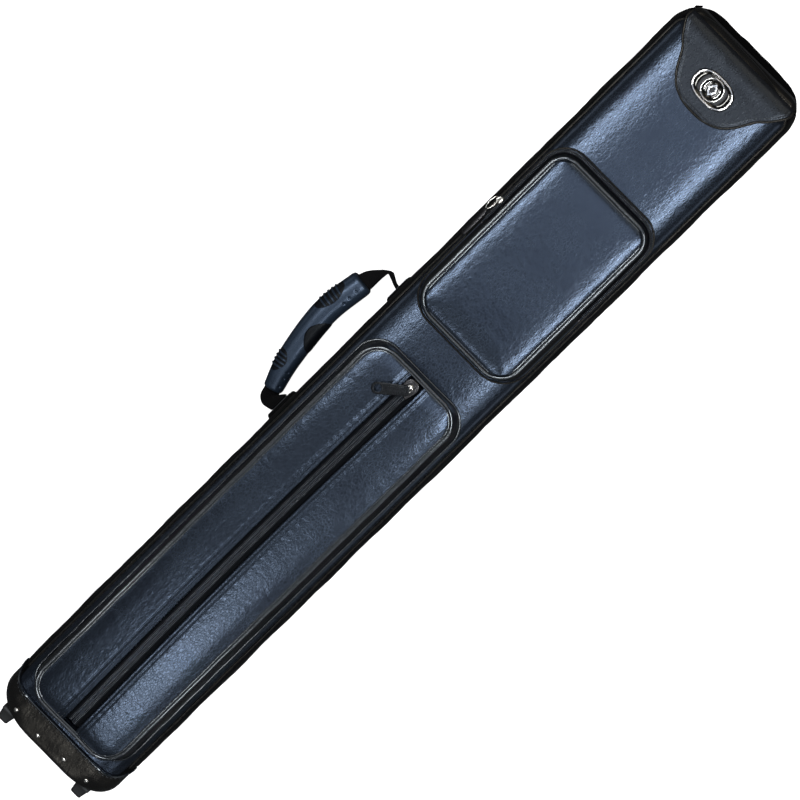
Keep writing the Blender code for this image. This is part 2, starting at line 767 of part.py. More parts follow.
def handle_grip_insert(rubber):
    """The soft oval pad on the grip's inner side, following its curve."""
    rings = []
    for centre, across, wide, _ in grip_stations():
        reach = 1.0 - ((centre.y - INSERT_S) / INSERT_HALF) ** 2
        if reach <= 0.0:
            continue
        half = 5.8 * math.sqrt(reach)
        near, far = centre + across * (wide + GAP), centre + across * (wide + 1.6)
        rings.append(
            [
                (near.x, near.y, GRIP_Z - half),
                (far.x, far.y, GRIP_Z - half + 0.5),
                (far.x, far.y, GRIP_Z + half - 0.5),
                (near.x, near.y, GRIP_Z + half),
            ]
        )
    loft("handle_grip_insert", rings, rubber, pivot=HANDLE_AXIS)


def strap(name, stations, material, pivot):
    """A flat strap through stations (centre, width direction, half width)."""
    centres = [Vector(centre) for centre, _, _ in stations]
    rings = []
    for i, (centre, across, half) in enumerate(stations):
        before, after = centres[max(i - 1, 0)], centres[min(i + 1, len(centres) - 1)]
        across = Vector(across).normalized() * half
        normal = (after - before).cross(across).normalized() * WEB_THICK / 2.0
        middle = Vector(centre)
        corners = (-across - normal, across - normal, across + normal, -across + normal)
        rings.append([tuple(middle + corner) for corner in corners])
    loft(name, rings, material, pivot=pivot)


def handle_webbing(webbing):
    """The webbing at both ends of the grip, and the patches that hold it to the band."""
    pivot = HANDLE_AXIS
    x, _, z = pivot
    upper = (
        ((-96.6, 491.4, 12.4), (0.99, -0.13, 0.0), 8.6),
        ((-95.6, 498.8, 13.4), (1.0, 0.4, 0.1), 8.2),
        ((-91.2, 506.8, 16.0), (0.9, 0.6, 0.4), 7.2),
        ((-86.0, 511.4, 20.0), (0.6, 0.5, 0.8), 5.6),
        ((-80.8, 511.8, 24.4), (0.3, 0.2, 1.0), 4.2),
        ((x - 0.6, 510.4, z), (0.0, 0.0, 1.0), 3.2),
        ((x + 2.6, 510.0, z), (0.0, 0.0, 1.0), 1.8),
    )
    strap("webbing_upper", upper, webbing, pivot)
    lower = (
        ((-85.7, 361.1, 12.2), (0.96, 0.28, 0.0), 7.4),
        ((-84.5, 356.8, 14.0), (0.86, 0.5, 0.0), 7.6),
        ((-81.0, 356.4, 19.0), (0.3, 1.0, 0.0), 8.4),
        ((x - 0.6, 361.6, z - 1.6), (0.0, 1.0, 0.0), 9.6),
        ((x + 1.2, 362.2, z), (0.0, 1.0, 0.0), 9.6),
    )
    strap("webbing_lower", lower, webbing, pivot)
    outer, inner = ANCHOR_X[1], ANCHOR_X[0]
    patch = rounded_box((496.0, 524.0, 18.0, 38.0), [1.5] * 4, 2)
    prism("anchor_patch_upper", patch, outer, inner, webbing, axis="X")
    patch = rounded_box((348.0, 378.0, 18.0, 38.0), [1.5] * 4, 2)
    prism("anchor_patch_lower", patch, outer - 1.6, inner, webbing, axis="X")


# ---------------------------------------------------------------- the case


def build():
    clear_scene()
    leather = make_material("black_leatherette", (0.012, 0.014, 0.018), 0.38)
    fabric = make_material("black_fabric", (0.009, 0.009, 0.010), 0.85)
    welt = make_material("black_piping", (0.010, 0.011, 0.014), 0.22)
    webbing = make_material("black_webbing", (0.008, 0.008, 0.009), 0.8)
    moulded = make_material("handle_plastic", (0.02, 0.026, 0.036), 0.42)
    rubber = make_material("black_rubber", (0.012, 0.012, 0.013), 0.7)
    nickel = make_material("nickel", (0.66, 0.65, 0.62), 0.25, 1.0)
    chrome = make_material("chrome", (0.78, 0.78, 0.77), 0.08, 1.0)
    gunmetal = make_material("gunmetal", (0.10, 0.10, 0.105), 0.3, 1.0)
    coil = make_material("zipper_coil", (0.012, 0.013, 0.016), 0.4)
    tape = make_material("zipper_tape", (0.008, 0.009, 0.011), 0.8)
    tube_plastic = make_material("tube_plastic", (0.03, 0.03, 0.032), 0.5)
    board = make_material("case_board", (0.05, 0.045, 0.04), 0.7)
    foam = make_material("foam", (0.025, 0.025, 0.027), 0.9)

    insides(tube_plastic, board, foam)
    back_panel(leather)
    back_rim(fabric)
    side_band("side_band_left", -1.0, fabric)
    side_band("side_band_right", 1.0, fabric)
    front_panel(leather)
    snap_keeper(nickel)
    bottom_cap(leather)
    cap_rivets(nickel)
    feet(rubber)
    lid(board, leather)
    top_flap(leather)
    badge(chrome)
    snap_magnet(nickel)
    cover_pivot = (0.0, UPPER_FOLD_S, UPPER_FACE_Z)
    upper_pocket_fixed(leather, welt)
    upper_pocket_cover(leather, welt, cover_pivot)
    upper_zipper(coil, nickel, cover_pivot)
    upper_slider(nickel, gunmetal)
    lower_pocket_walls(leather, welt)
    lower_panels(leather)
    lower_zipper(tape, coil, nickel)
    lower_slider(gunmetal, moulded)
    handle_grip(moulded)
    handle_grip_insert(rubber)
    handle_webbing(webbing)


build()
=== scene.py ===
"""Looks of the cue case: every visible piece in detail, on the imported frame.

Lengths are in millimetres. X runs across the case with the handle at -X, S runs along it from
the bottom cap's end face (S = 0) to the lid, and Z runs up from the back panel's outer face.
"""

import math

import bmesh
import bpy
import numpy as np
from mathutils import Matrix, Vector


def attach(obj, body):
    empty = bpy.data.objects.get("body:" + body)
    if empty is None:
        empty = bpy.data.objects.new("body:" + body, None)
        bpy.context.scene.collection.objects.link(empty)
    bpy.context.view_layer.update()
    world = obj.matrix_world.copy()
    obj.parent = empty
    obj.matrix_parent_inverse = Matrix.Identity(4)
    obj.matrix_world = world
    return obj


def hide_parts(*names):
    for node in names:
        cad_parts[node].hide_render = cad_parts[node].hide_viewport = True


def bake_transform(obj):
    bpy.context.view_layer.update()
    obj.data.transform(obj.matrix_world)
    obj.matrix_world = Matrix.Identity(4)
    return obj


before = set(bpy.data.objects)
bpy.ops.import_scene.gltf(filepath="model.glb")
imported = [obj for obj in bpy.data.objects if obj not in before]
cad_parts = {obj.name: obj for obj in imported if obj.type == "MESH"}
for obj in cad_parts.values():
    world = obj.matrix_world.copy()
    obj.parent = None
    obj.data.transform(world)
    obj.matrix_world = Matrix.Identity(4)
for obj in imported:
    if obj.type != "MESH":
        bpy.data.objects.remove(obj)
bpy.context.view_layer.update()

MM = 0.001
CENTRE_S = 437.0

# The body.
SEAM_HALF = 62.9
SEAM_Z = 71.3
BAND_HALF = 69.0
MOUTH_S = 861.0
ARCH_S = 874.0
ARCH_CORNER = 30.0
PANEL_S = (13.0, 857.0)
PANEL_CORNER = 12.0

# The bottom cap.
CAP_HALF = 68.3
CAP_FRONT_Z = 88.6
CAP_CORNERS = (25.0, 19.5)
CAP_RIM = ((0.0, 25.8), (47.5, 25.8), (56.5, 27.2), (63.0, 31.0), (66.8, 36.5), (68.3, 39.6))
RIVETS = ((-43.2, 10.2), (-13.6, 7.6), (17.6, 9.2), (44.8, 10.2))
FOOT_X = 46.4
FOOT_Z = (18.0, 70.0)

# The lid, the flap and the badge.
FOLD_S = 863.9
FLAP_TOP = 88.9
FLAP_EDGE = (
    (60.0, 863.7), (60.4, 857.0), (58.2, 852.2), (51.2, 842.2), (44.6, 835.4), (39.2, 826.4),
    (34.0, 817.8), (25.6, 809.2), (16.0, 804.8), (8.0, 803.0), (0.0, 802.6),
)
BADGE = (-1.2, 827.7)

# The upper pocket.
UPPER_BASE = (-58.4, 58.4, 519.5, 710.5)
UPPER_RADII = (27.0, 27.0, 22.0, 22.0)
UPPER_FOLD_S = 614.5
UPPER_SLIDER_S = 636.0

# The lower pocket.
LOWER_BASE = (-57.0, 57.0, 36.0, 481.6)
LOWER_TOP = (-52.4, 51.4, 39.0, 482.3)
LOWER_CORNER = 23.0
ZIP_S = (47.4, 474.0)
ZIP_BOW = (-1.06, -3.4)
LOWER_SLIDER_S = (460.5, 477.5)
PULL_ANGLE = math.radians(50.0)
WELT_INSET = 2.2
FINE_STRIP = 17.5
EDGE_GAP = {-1: 6.5, 1: 7.4}

# The carry handle.
WEBBING_THICK = 2.2
GRIP_LINE = ((-96.9, 489.0), (-102.0, 445.0), (-95.6, 394.5), (-86.5, 363.0))
GRIP_HALF_WIDTH = (11.8, 12.2, 11.1, 9.0)
GRIP_HALF_DEPTH = (10.0, 11.2, 10.8, 9.0)
GRIP_Z = 12.2
GRIP_DIMPLES = (
    (-94.9, 480.0), (-95.1, 471.5), (-94.8, 464.6), (-86.7, 384.9), (-85.5, 378.4), (-83.4, 370.4),
)


# ---------------------------------------------------------------- materials


class Graph:
    """A material's node tree, built one node at a time."""

    def __init__(self, name):
        self.material = bpy.data.materials.new(name)
        self.material.use_nodes = True
        self.tree = self.material.node_tree
        self.shader = self.tree.nodes["Principled BSDF"]
        self.place = self.tree.nodes.new("ShaderNodeTexCoord").outputs["Object"]

    def fill(self, node, inputs):
        for key, value in inputs.items():
            if isinstance(value, bpy.types.NodeSocket):
                self.tree.links.new(value, node.inputs[key])
            else:
                node.inputs[key].default_value = value

    def node(self, kind, inputs, out=0, **settings):
        made = self.tree.nodes.new("ShaderNode" + kind)
        for key, value in settings.items():
            setattr(made, key, value)
        self.fill(made, inputs)
        return made.outputs[out]

    def stretch(self, x, y, z):
        return self.node("Mapping", {"Vector": self.place, "Scale": (x, y, z)})

    def noise(self, vector, scale, detail=3.0, rough=0.55, out=0):
        inputs = {"Vector": vector, "Scale": scale, "Detail": detail, "Roughness": rough}
        return self.node("TexNoise", inputs, out)

    def math(self, how, a, b, c=0.0):
        return self.node("Math", {0: a, 1: b, 2: c}, operation=how)

    def ramp(self, value, low, high, start=0.0, end=1.0):
        inputs = {"Value": value, "From Min": start, "From Max": end, "To Min": low, "To Max": high}
        return self.node("MapRange", inputs)

    def tones(self, value, dark, light):
        made = self.tree.nodes.new("ShaderNodeMix")
        made.data_type = "RGBA"
        self.tree.links.new(value, made.inputs[0])
        made.inputs[6].default_value = (*dark, 1.0)
        made.inputs[7].default_value = (*light, 1.0)
        return made.outputs[2]

    def bump(self, height, distance, strength=1.0):
        inputs = {"Height": height, "Distance": distance, "Strength": strength}
        self.fill(self.shader, {"Normal": self.node("Bump", inputs)})

    def surface(self, **values):
        names = {"ior_level": "Specular IOR Level", "tint": "Specular Tint"}
        self.fill(
            self.shader,
            {names.get(k, k.replace("_", " ").title()): v for k, v in values.items()},
        )
        return self.material


def leather(name, dark, light, tint, roughness, grain=1.0, ior_level=0.9):
    """Leatherette: small pebbles drawn out along the case, over soft creases."""
    g = Graph(name)
    drawn = g.stretch(1.0, 0.6, 1.0)
    sway = g.noise(drawn, 330.0, 2.0, out=1)
    bent = g.node(
        "VectorMath", {0: sway, 1: (0.0013,) * 3, 2: drawn}, operation="MULTIPLY_ADD"
    )
    cells = g.node(
        "TexVoronoi", {"Vector": bent, "Scale": 480.0}, feature="DISTANCE_TO_EDGE"
    )
    pebble = g.ramp(cells, 0.0, 1.0, 0.0, 0.25)
    strokes = g.noise(bent, 300.0, 1.0, 0.4)
    soft = g.noise(g.stretch(1.0, 0.5, 1.0), 60.0, 3.0)
    height = g.math("MULTIPLY_ADD", strokes, 5.5, pebble)
    height = g.math("MULTIPLY_ADD", soft, 6.0, height)
    g.bump(height, 0.00003 * grain, 1.0)
    patches = g.noise(g.place, 30.0, 4.0, 0.6)
    rough = g.math("MULTIPLY_ADD", g.math("SUBTRACT", patches, pebble), 0.07, roughness)
    colour = g.tones(g.ramp(patches, 0.0, 1.0, 0.3, 0.7), dark, light)
    tint = (*tint, 1.0)
    return g.surface(base_color=colour, roughness=rough, ior_level=ior_level, tint=tint)


def weave(name, dark, light, pitch, depth, roughness=0.85, axes=("X", "Y"), sheen=0.02):
    """Cloth woven from two crossing sets of ribs, with painted shade darkening the sunken gaps."""
    g = Graph(name)
    step = math.pi / (10.0 * pitch * MM)
    bent = g.node(
        "VectorMath",
        {0: g.noise(g.place, 160.0, 2.0, out=1), 1: (0.0009,) * 3, 2: g.place},
        operation="MULTIPLY_ADD",
    )
    ribs = [
        g.node(
            "TexWave",
            {"Vector": bent, "Scale": step, "Distortion": 0.4, "Detail": 1.0},
            out=1,
            bands_direction=axis,
        )
        for axis in axes
    ]
    cloth = g.math("MULTIPLY", ribs[0], ribs[1])
    fuzz = g.noise(g.place, 900.0, 3.0, 0.7)
    height = g.math("MULTIPLY_ADD", fuzz, 0.6, cloth)
    g.bump(height, depth * MM, 1.0)
    # Colour follows the height: random tone from the fuzz, and painted shade in the weave's sunken
    # gaps.
    colour = g.tones(g.math("MULTIPLY", height, 0.75), dark, light)
    made = g.surface(base_color=colour, roughness=roughness, ior_level=0.1)
    g.fill(g.shader, {"IOR": 1.12, "Sheen Weight": sheen, "Sheen Roughness": 0.5})
    return made


def metal(name, colour, roughness, wear=0.08):
    """Plated metal with faint pitting and smears."""
    g = Graph(name)
    smear = g.noise(g.place, 220.0, 5.0, 0.65)
    g.bump(g.noise(g.place, 1400.0, 2.0), 0.00002, 0.6)
    shade = g.tones(smear, tuple(c * 0.86 for c in colour), colour)
    rough = g.ramp(smear, max(roughness - wear, 0.03), roughness + wear, 0.3, 0.7)
    return g.surface(base_color=shade, roughness=rough, metallic=1.0)


def moulded(name, dark, light, tint, roughness, bump=0.00005, ior_level=0.7, ior=None):
    """Moulded plastic or rubber with a fine spark-eroded texture."""
    g = Graph(name)
    fine = g.noise(g.place, 1100.0, 3.0, 0.6)
    g.bump(fine, bump, 0.7)
    broad = g.noise(g.place, 45.0, 3.0)
    colour = g.tones(g.ramp(broad, 0.0, 1.0, 0.35, 0.65), dark, light)
    rough = g.ramp(fine, roughness - 0.05, roughness + 0.06, 0.3, 0.7)
    if ior:
        g.fill(g.shader, {"IOR": ior})
    return g.surface(base_color=colour, roughness=rough, ior_level=ior_level, tint=(*tint, 1.0))


BLUE = (0.53, 0.70, 1.0)
GREY = (0.86, 0.94, 1.0)
CREAM = (1.0, 0.95, 0.84)
PALE_BLUE = (0.72, 0.84, 1.0)
LEATHER = leather("front_leatherette", (0.005, 0.0062, 0.009), (0.007, 0.009, 0.0125), BLUE, 0.245)
POCKET = leather(
    "pocket_leatherette", (0.0048, 0.006, 0.0088), (0.0068, 0.0088, 0.012), BLUE, 0.24, 0.9
)
TRIM = leather(
    "trim_leatherette", (0.006, 0.0062, 0.0068), (0.0095, 0.0094, 0.0092), CREAM, 0.3, 1.1, 0.3
)
WALL = leather(
    "gusset_leatherette", (0.003, 0.0035, 0.0045), (0.005, 0.0056, 0.007), GREY, 0.4, 0.7, 0.35
)
FLAP = leather(
    "flap_leatherette", (0.005, 0.0055, 0.007), (0.0075, 0.008, 0.0095), PALE_BLUE, 0.3, 1.1, 0.42
)
PIPING = moulded(
    "welt_piping", (0.006, 0.007, 0.010), (0.008, 0.010, 0.013), GREY, 0.14, 0.00001, 1.0, 1.7
)
BAND = weave(
    "band_fabric", (0.002, 0.002, 0.0024), (0.0065, 0.0066, 0.0075), 1.3, 0.2, axes=("Y", "Z")
)
RIM = weave("rim_fabric", (0.002, 0.002, 0.0022), (0.007, 0.007, 0.0075), 1.3, 0.22)
WEBBING = weave("handle_webbing", (0.003, 0.003, 0.0035), (0.012, 0.012, 0.013), 1.5, 0.3)
TAPE = weave("zipper_tape", (0.002, 0.0023, 0.003), (0.007, 0.008, 0.010), 0.9, 0.12)
COIL = moulded(
    "zipper_coil", (0.03, 0.034, 0.042), (0.042, 0.047, 0.056), GREY, 0.2, 0.00001, 1.0
)
THREAD = moulded("thread", (0.02, 0.022, 0.026), (0.032, 0.035, 0.04), GREY, 0.4, 0.00004)
CHROME = metal("chrome", (0.86, 0.86, 0.85), 0.07, 0.03)
NICKEL = metal("nickel", (0.74, 0.73, 0.70), 0.17, 0.06)
STEEL = metal("gunmetal", (0.10, 0.10, 0.105), 0.24)
DARK_CHROME = metal("dark_chrome", (0.085, 0.085, 0.08), 0.06, 0.02)
GRIP = moulded("grip_plastic", (0.012, 0.019, 0.031), (0.016, 0.025, 0.040), BLUE, 0.3, 0.00006)
# Dark pad of the grip's insert, also laid over the ribbed recesses as painted shade.
PAD_AND_RECESS_SHADE = moulded("grip_pad_and_recess_shade", (0.003, 0.0036, 0.005), (0.005, 0.006, 0.008), GREY, 0.4, 0.0001, 0.12)
RUBBER = moulded("foot_rubber", (0.009, 0.009, 0.0095), (0.014, 0.013, 0.013), GREY, 0.6, 0.0001)
TAB = moulded(
    "pull_tab", (0.004, 0.0045, 0.0055), (0.0065, 0.007, 0.0085), GREY, 0.26, 0.00004, 0.3
)
TUBES = moulded("tube_plastic", (0.022, 0.022, 0.024), (0.034, 0.034, 0.036), GREY, 0.42)
BOARD = moulded("covered_board", (0.035, 0.031, 0.027), (0.055, 0.05, 0.043), GREY, 0.7, 0.0002)
FOAM = weave(
    "foam_velvet", (0.012, 0.012, 0.014), (0.04, 0.04, 0.043), 0.8, 0.1, 0.95, sheen=0.4
)


# ---------------------------------------------------------------- mesh helpers


def put(points):
    """Rows of (x, s, z) in millimetres, as metres in the frame."""
    made = np.array(points, float).reshape(-1, 3) * MM
    made[:, 1] -= CENTRE_S * MM
    return made


def new_object(name, data, material):
    data.materials.append(material)
    made = bpy.data.objects.new(name, data)
    bpy.context.scene.collection.objects.link(made)
    return made


def mesh_object(name, points, faces, material, up=False):
    """A smooth mesh with its normals outward, or upward for an open sheet."""
    mesh = bpy.data.meshes.new(name)
    mesh.from_pydata(put(points).tolist(), [], faces)
    work = bmesh.new()
    work.from_mesh(mesh)
    bmesh.ops.recalc_face_normals(work, faces=work.faces)
    if up and sum(face.normal.z * face.calc_area() for face in work.faces) < 0.0:
        bmesh.ops.reverse_faces(work, faces=work.faces)
    work.to_mesh(mesh)
    work.free()
    mesh.shade_smooth()
    return new_object(name, mesh, material)


def quads(rows, cols, wrap_rows=False, wrap_cols=False):
    faces = []
    for i in range(rows - (not wrap_rows)):
        for j in range(cols - (not wrap_cols)):
            k, m = (j + 1) % cols, ((i + 1) % rows) * cols
            faces.append((i * cols + j, i * cols + k, m + k, m + j))
    return faces


def skin(name, grid, material, wrap_rows=False, wrap_cols=False, caps=False, up=False):
    """A surface over rows of points (x, s, z)."""
    grid = np.asarray(grid, float)
    rows, cols = grid.shape[:2]
    faces = quads(rows, cols, wrap_rows, wrap_cols)
    if caps:
        faces += [tuple(range(cols)), tuple(range((rows - 1) * cols, rows * cols))]
    return mesh_object(name, grid.reshape(-1, 3), faces, material, up)


def tube(name, rings, material):
    """A closed form over rings of points, with both its ends closed."""
    return skin(name, rings, material, wrap_cols=True, caps=True)


def full_turn(count):
    """Angles an even step apart, all the way round."""
    return np.linspace(0.0, 2.0 * math.pi, count, endpoint=False)


def thicken(made, depth):
    """Gives an open sheet a depth inward, in millimetres."""
    modifier = made.modifiers.new("Thickness", "SOLIDIFY")
    modifier.thickness = depth * MM
    modifier.offset = -1.0
    return made


def ripple(a, b, size, seed, waves=7):
    """Smooth uneven waves between -1 and 1 over two coordinates, size across."""
    rng = np.random.default_rng(seed)
    a, b = np.broadcast_arrays(np.asarray(a, float), np.asarray(b, float))
    total = np.zeros(a.shape)
    for _ in range(waves):
        turn, phase = rng.uniform(0.0, 2.0 * math.pi, 2)
        length = size * rng.uniform(0.6, 1.5)
        along = a * math.cos(turn) + b * math.sin(turn)
        total += np.sin(2.0 * math.pi * along / length + phase)
    return total / waves**0.5 / 1.6


def resample(path, step, closed=False):
    """Points an even step apart along a path."""
    path = np.asarray(path, float)
    if closed:
        path = np.vstack([path, path[:1]])
    gone = np.concatenate([[0.0], np.cumsum(np.linalg.norm(np.diff(path, axis=0), axis=1))])
    count = max(int(round(gone[-1] / step)), 2)
    marks = np.linspace(0.0, gone[-1], count + 1)
    if closed:
        marks = marks[:-1]
    return np.stack([np.interp(marks, gone, path[:, k]) for k in range(path.shape[1])], axis=1)


def smooth(knots, steps):
    """Points of a Catmull-Rom curve through knots."""
    k = np.asarray(knots, float)
    k = np.vstack([2 * k[0] - k[1], k, 2 * k[-1] - k[-2]])
    out = []
    for i in range(1, len(k) - 2):
        p0, p1, p2, p3 = k[i - 1 : i + 3]
        for t in np.linspace(0.0, 1.0, steps, endpoint=False):
            out.append(
                0.5 * (2 * p1 + (p2 - p0) * t + (2 * p0 - 5 * p1 + 4 * p2 - p3) * t * t
                       + (3 * p1 - p0 - 3 * p2 + p3) * t**3)
            )
    out.append(k[-2])
    return np.array(out)


def frames_along(path, closed=False):
    """Unit tangent, side and up vectors at every point, up kept near +Z."""
    if closed:
        tangent = np.roll(path, -1, axis=0) - np.roll(path, 1, axis=0)
    else:
        tangent = np.gradient(path, axis=0)
    tangent /= np.linalg.norm(tangent, axis=1)[:, None] + 1e-12
    side = np.cross(tangent, (0.0, 0.0, 1.0))
    side /= np.linalg.norm(side, axis=1)[:, None] + 1e-12
    return tangent, side, np.cross(side, tangent)


def even_loop(outline, step, count):
    """A closed outline as a set number of points, so that unlike loops line up."""
    loop = resample(outline, step, True)
    marks = np.linspace(0.0, 1.0, count + 1)[:-1] * len(loop)
    whole = np.vstack([loop, loop[:1]])
    return np.stack([np.interp(marks, np.arange(len(whole)), whole[:, k]) for k in (0, 1)], 1)


def sweep(name, path, profile, material, closed=False):
    """A profile of (side, up) pairs carried along a path."""
    path = np.asarray(path, float)
    _, side, up = frames_along(path, closed)
    profile = np.asarray(profile, float)
    grid = (
        path[:, None, :]
        + side[:, None, :] * profile[None, :, :1]
        + up[:, None, :] * profile[None, :, 1:]
    )
    return skin(name, grid, material, closed, True, not closed)


def round_profile(radius, count=12, squash=1.0):
    turns = full_turn(count)
    return np.stack([radius * np.cos(turns), radius * squash * np.sin(turns)], axis=1)


def cord(name, path, radius, material, closed=False, step=2.0, wander=0.0, seed=1):
    """A round welt along a path, with a little natural wander."""
    path = resample(path, step, closed)
    if wander:
        drift = wander * ripple(path[:, 0], path[:, 1], 34.0, seed)
        _, side, _ = frames_along(path, closed)
        path = path + side * drift[:, None]
    return sweep(name, path, round_profile(radius), material, closed)


def stitches(name, path, pitch, length, radius, material, closed=False, tilt=6.0):
    """A row of thread stitches, each a small spindle lying along the path."""
    path = resample(path, pitch, closed)
    tangent, side, up = frames_along(path, closed)
    around, points, faces = 6, [], []
    lean = math.radians(tilt)
    for i in range(len(path)):
        ahead = tangent[i] * math.cos(lean) + side[i] * math.sin(lean)
        across = np.cross(up[i], ahead)
        base = len(points)
        for along, wide, lift in (
            (-0.5, 0.25, -0.5), (-0.36, 0.85, -0.05), (0.0, 1.0, 0.12), (0.36, 0.85, -0.05),
            (0.5, 0.25, -0.5),
        ):
            for turn in range(around):
                angle = 2.0 * math.pi * turn / around
                points.append(
                    path[i]
                    + ahead * along * length
                    + across * radius * wide * math.cos(angle)
                    + up[i] * radius * (wide * math.sin(angle) + lift)
                )
        for ring in range(4):
            for turn in range(around):
                a, b = base + ring * around + turn, base + ring * around + (turn + 1) % around
                faces.append((a, b, b + around, a + around))
        last = base + 4 * around
        faces += [tuple(range(base, base + around)), tuple(range(last, last + around))]
    return mesh_object(name, points, faces, material)


def plate(name, loops, low, high, bevel, material, spot=(0.0, 0.0), turn=0.0):
    """A flat plate with rounded edges; the first loop is its outline and the rest are holes."""
    data = bpy.data.curves.new(name, "CURVE")
    data.dimensions = "2D"
    data.fill_mode = "BOTH"
    data.extrude = ((high - low) / 2.0 - bevel) * MM
    data.bevel_depth = bevel * MM
    data.bevel_resolution = 3
    data.offset = -bevel * MM
    for loop in loops:
        spline = data.splines.new("POLY")
        spline.points.add(len(loop) - 1)
        for point, (x, s) in zip(spline.points, loop):
            point.co = (x * MM, s * MM, 0.0, 1.0)
        spline.use_cyclic_u = True
    made = new_object(name, data, material)
    centre = put([(spot[0], spot[1], (low + high) / 2.0)])[0]
    made.matrix_world = Matrix.Translation(Vector(centre)) @ Matrix.Rotation(turn, 4, "Z")
    return made


def round_box(box, radii, steps=10):
    """The outline of a box with arc corners (low left, low right, high right, high left)."""
    x0, x1, s0, s1 = box
    corners = ((x0, s0, 1, 1), (x1, s0, -1, 1), (x1, s1, -1, -1), (x0, s1, 1, -1))
    outline = []
    for quarter, ((x, s, to_x, to_s), radius) in enumerate(zip(corners, radii)):
        radius = max(radius, 0.2)
        for step in range(steps + 1):
            angle = math.pi * (1.0 + quarter / 2.0) + math.pi / 2.0 * step / steps
            outline.append(
                (x + to_x * radius + radius * math.cos(angle),
                 s + to_s * radius + radius * math.sin(angle))
            )
    return outline


def inset_outline(box, radii, inset, steps=10):
    x0, x1, s0, s1 = box
    smaller = (x0 + inset, x1 - inset, s0 + inset, s1 - inset)
    return round_box(smaller, [max(radius - inset, 0.4) for radius in radii], steps)


def circle(radius, count=32, centre=(0.0, 0.0)):
    turns = [2.0 * math.pi * i / count for i in range(count)]
    return [(centre[0] + radius * math.cos(a), centre[1] + radius * math.sin(a)) for a in turns]


def at_height(outline, z):
    return [(x, s, z) for x, s in outline]


def lathe(name, centre, profile, material, count=36, half=(1.0, 1.0), power=2.0):
    """Rings of (radius, z) round a centre; half and power make it oval or squarish."""
    turns = full_turn(count)
    cos, sin = np.cos(turns), np.sin(turns)
    cos = np.sign(cos) * np.abs(cos) ** (2.0 / power)
    sin = np.sign(sin) * np.abs(sin) ** (2.0 / power)
    grid = [
        np.stack([centre[0] + r * half[0] * cos, centre[1] + r * half[1] * sin, cos * 0 + z], 1)
        for r, z in profile
    ]
    return tube(name, grid, material)


def on(body, *made, stands_for=(), slot=None, pad=None):
    """Puts pieces on a body and hides the CAD nodes they replace; gives back the first."""
    if stands_for:
        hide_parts(*stands_for)
    for piece in made:
        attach(piece, body)
    return made[0]


def crown(t, power=3.0):
    """How a stuffed panel rises from its edge (t = 0) to its middle (t = 1)."""
    t = np.clip(t, 0.0, 1.0)
    return (1.0 - (1.0 - t) ** power) ** (1.0 / power)


# ---------------------------------------------------------------- body


def front_panel():
    """The padded front: domed across, rolled over at its long edges, with worn-in creases."""
    s0, s1 = PANEL_S
    rows = np.concatenate([np.linspace(s0, s1 - 16, 300), np.linspace(s1 - 15, s1, 26)])
    edge = np.sin(np.linspace(-math.pi / 2, math.pi / 2, 111))
    across = edge * 0.45 + np.linspace(-1.0, 1.0, 111) * 0.55
    s, u = np.meshgrid(rows, across, indexing="ij")
    left = np.maximum(PANEL_CORNER - (s1 - s), 0.0)
    half = SEAM_HALF - (PANEL_CORNER - np.sqrt(PANEL_CORNER**2 - left**2))
    x = half * u
    rise = crown(1.0 - np.abs(u)) * crown((s1 - s) / 13.0, 2.4)
    z = SEAM_Z + 15.0 * rise
    soft = np.clip(1.0 - np.abs(u), 0.0, 0.3) / 0.3
    z += soft * (0.08 * ripple(x, s * 0.5, 46.0, 3) + 0.025 * ripple(x, s * 0.6, 17.0, 4))
    near = np.exp(-(((np.abs(x) - 50.0) / 9.0) ** 2))
    z += near * 0.09 * ripple(x * 0.4, s, 24.0, 5)
    dip = np.hypot(x - BADGE[0], s - BADGE[1])
    z -= 1.8 / (1.0 + np.exp(np.clip((dip - 10.4) * 2.4, -40.0, 40.0)))
    made = skin("front_panel_skin", np.stack([x, s, z], 2), LEATHER, up=True)
    on("case", thicken(made, 1.6), stands_for=["front_panel"], slot="leatherette", pad=0.8)


def seam_path(side, inset=0.0):
    """Along one long seam and round the panel's top corner."""
    top, corner = PANEL_S[1], PANEL_CORNER + 1.0
    half = SEAM_HALF + 0.7 - inset
    path = [(side * half, s, SEAM_Z + 0.9) for s in np.linspace(41.0, top - corner, 90)]
    for angle in np.linspace(0.0, math.pi / 2.0, 10)[1:]:
        path.append(
            (side * (half - corner + corner * math.cos(angle)),
             top - corner + corner * math.sin(angle), SEAM_Z + 0.9 + 3.0 * math.sin(angle))
        )
    return path


def seams():
    for name, side in (("left", -1.0), ("right", 1.0)):
        made = cord(f"seam_welt_{name}", seam_path(side), 1.05, TRIM, wander=0.18, seed=11)
        on("case", made, slot="leatherette")
        row = stitches(f"seam_thread_{name}", seam_path(side, 2.6), 4.2, 2.7, 0.3, THREAD)
        on("case", row, slot="leatherette")


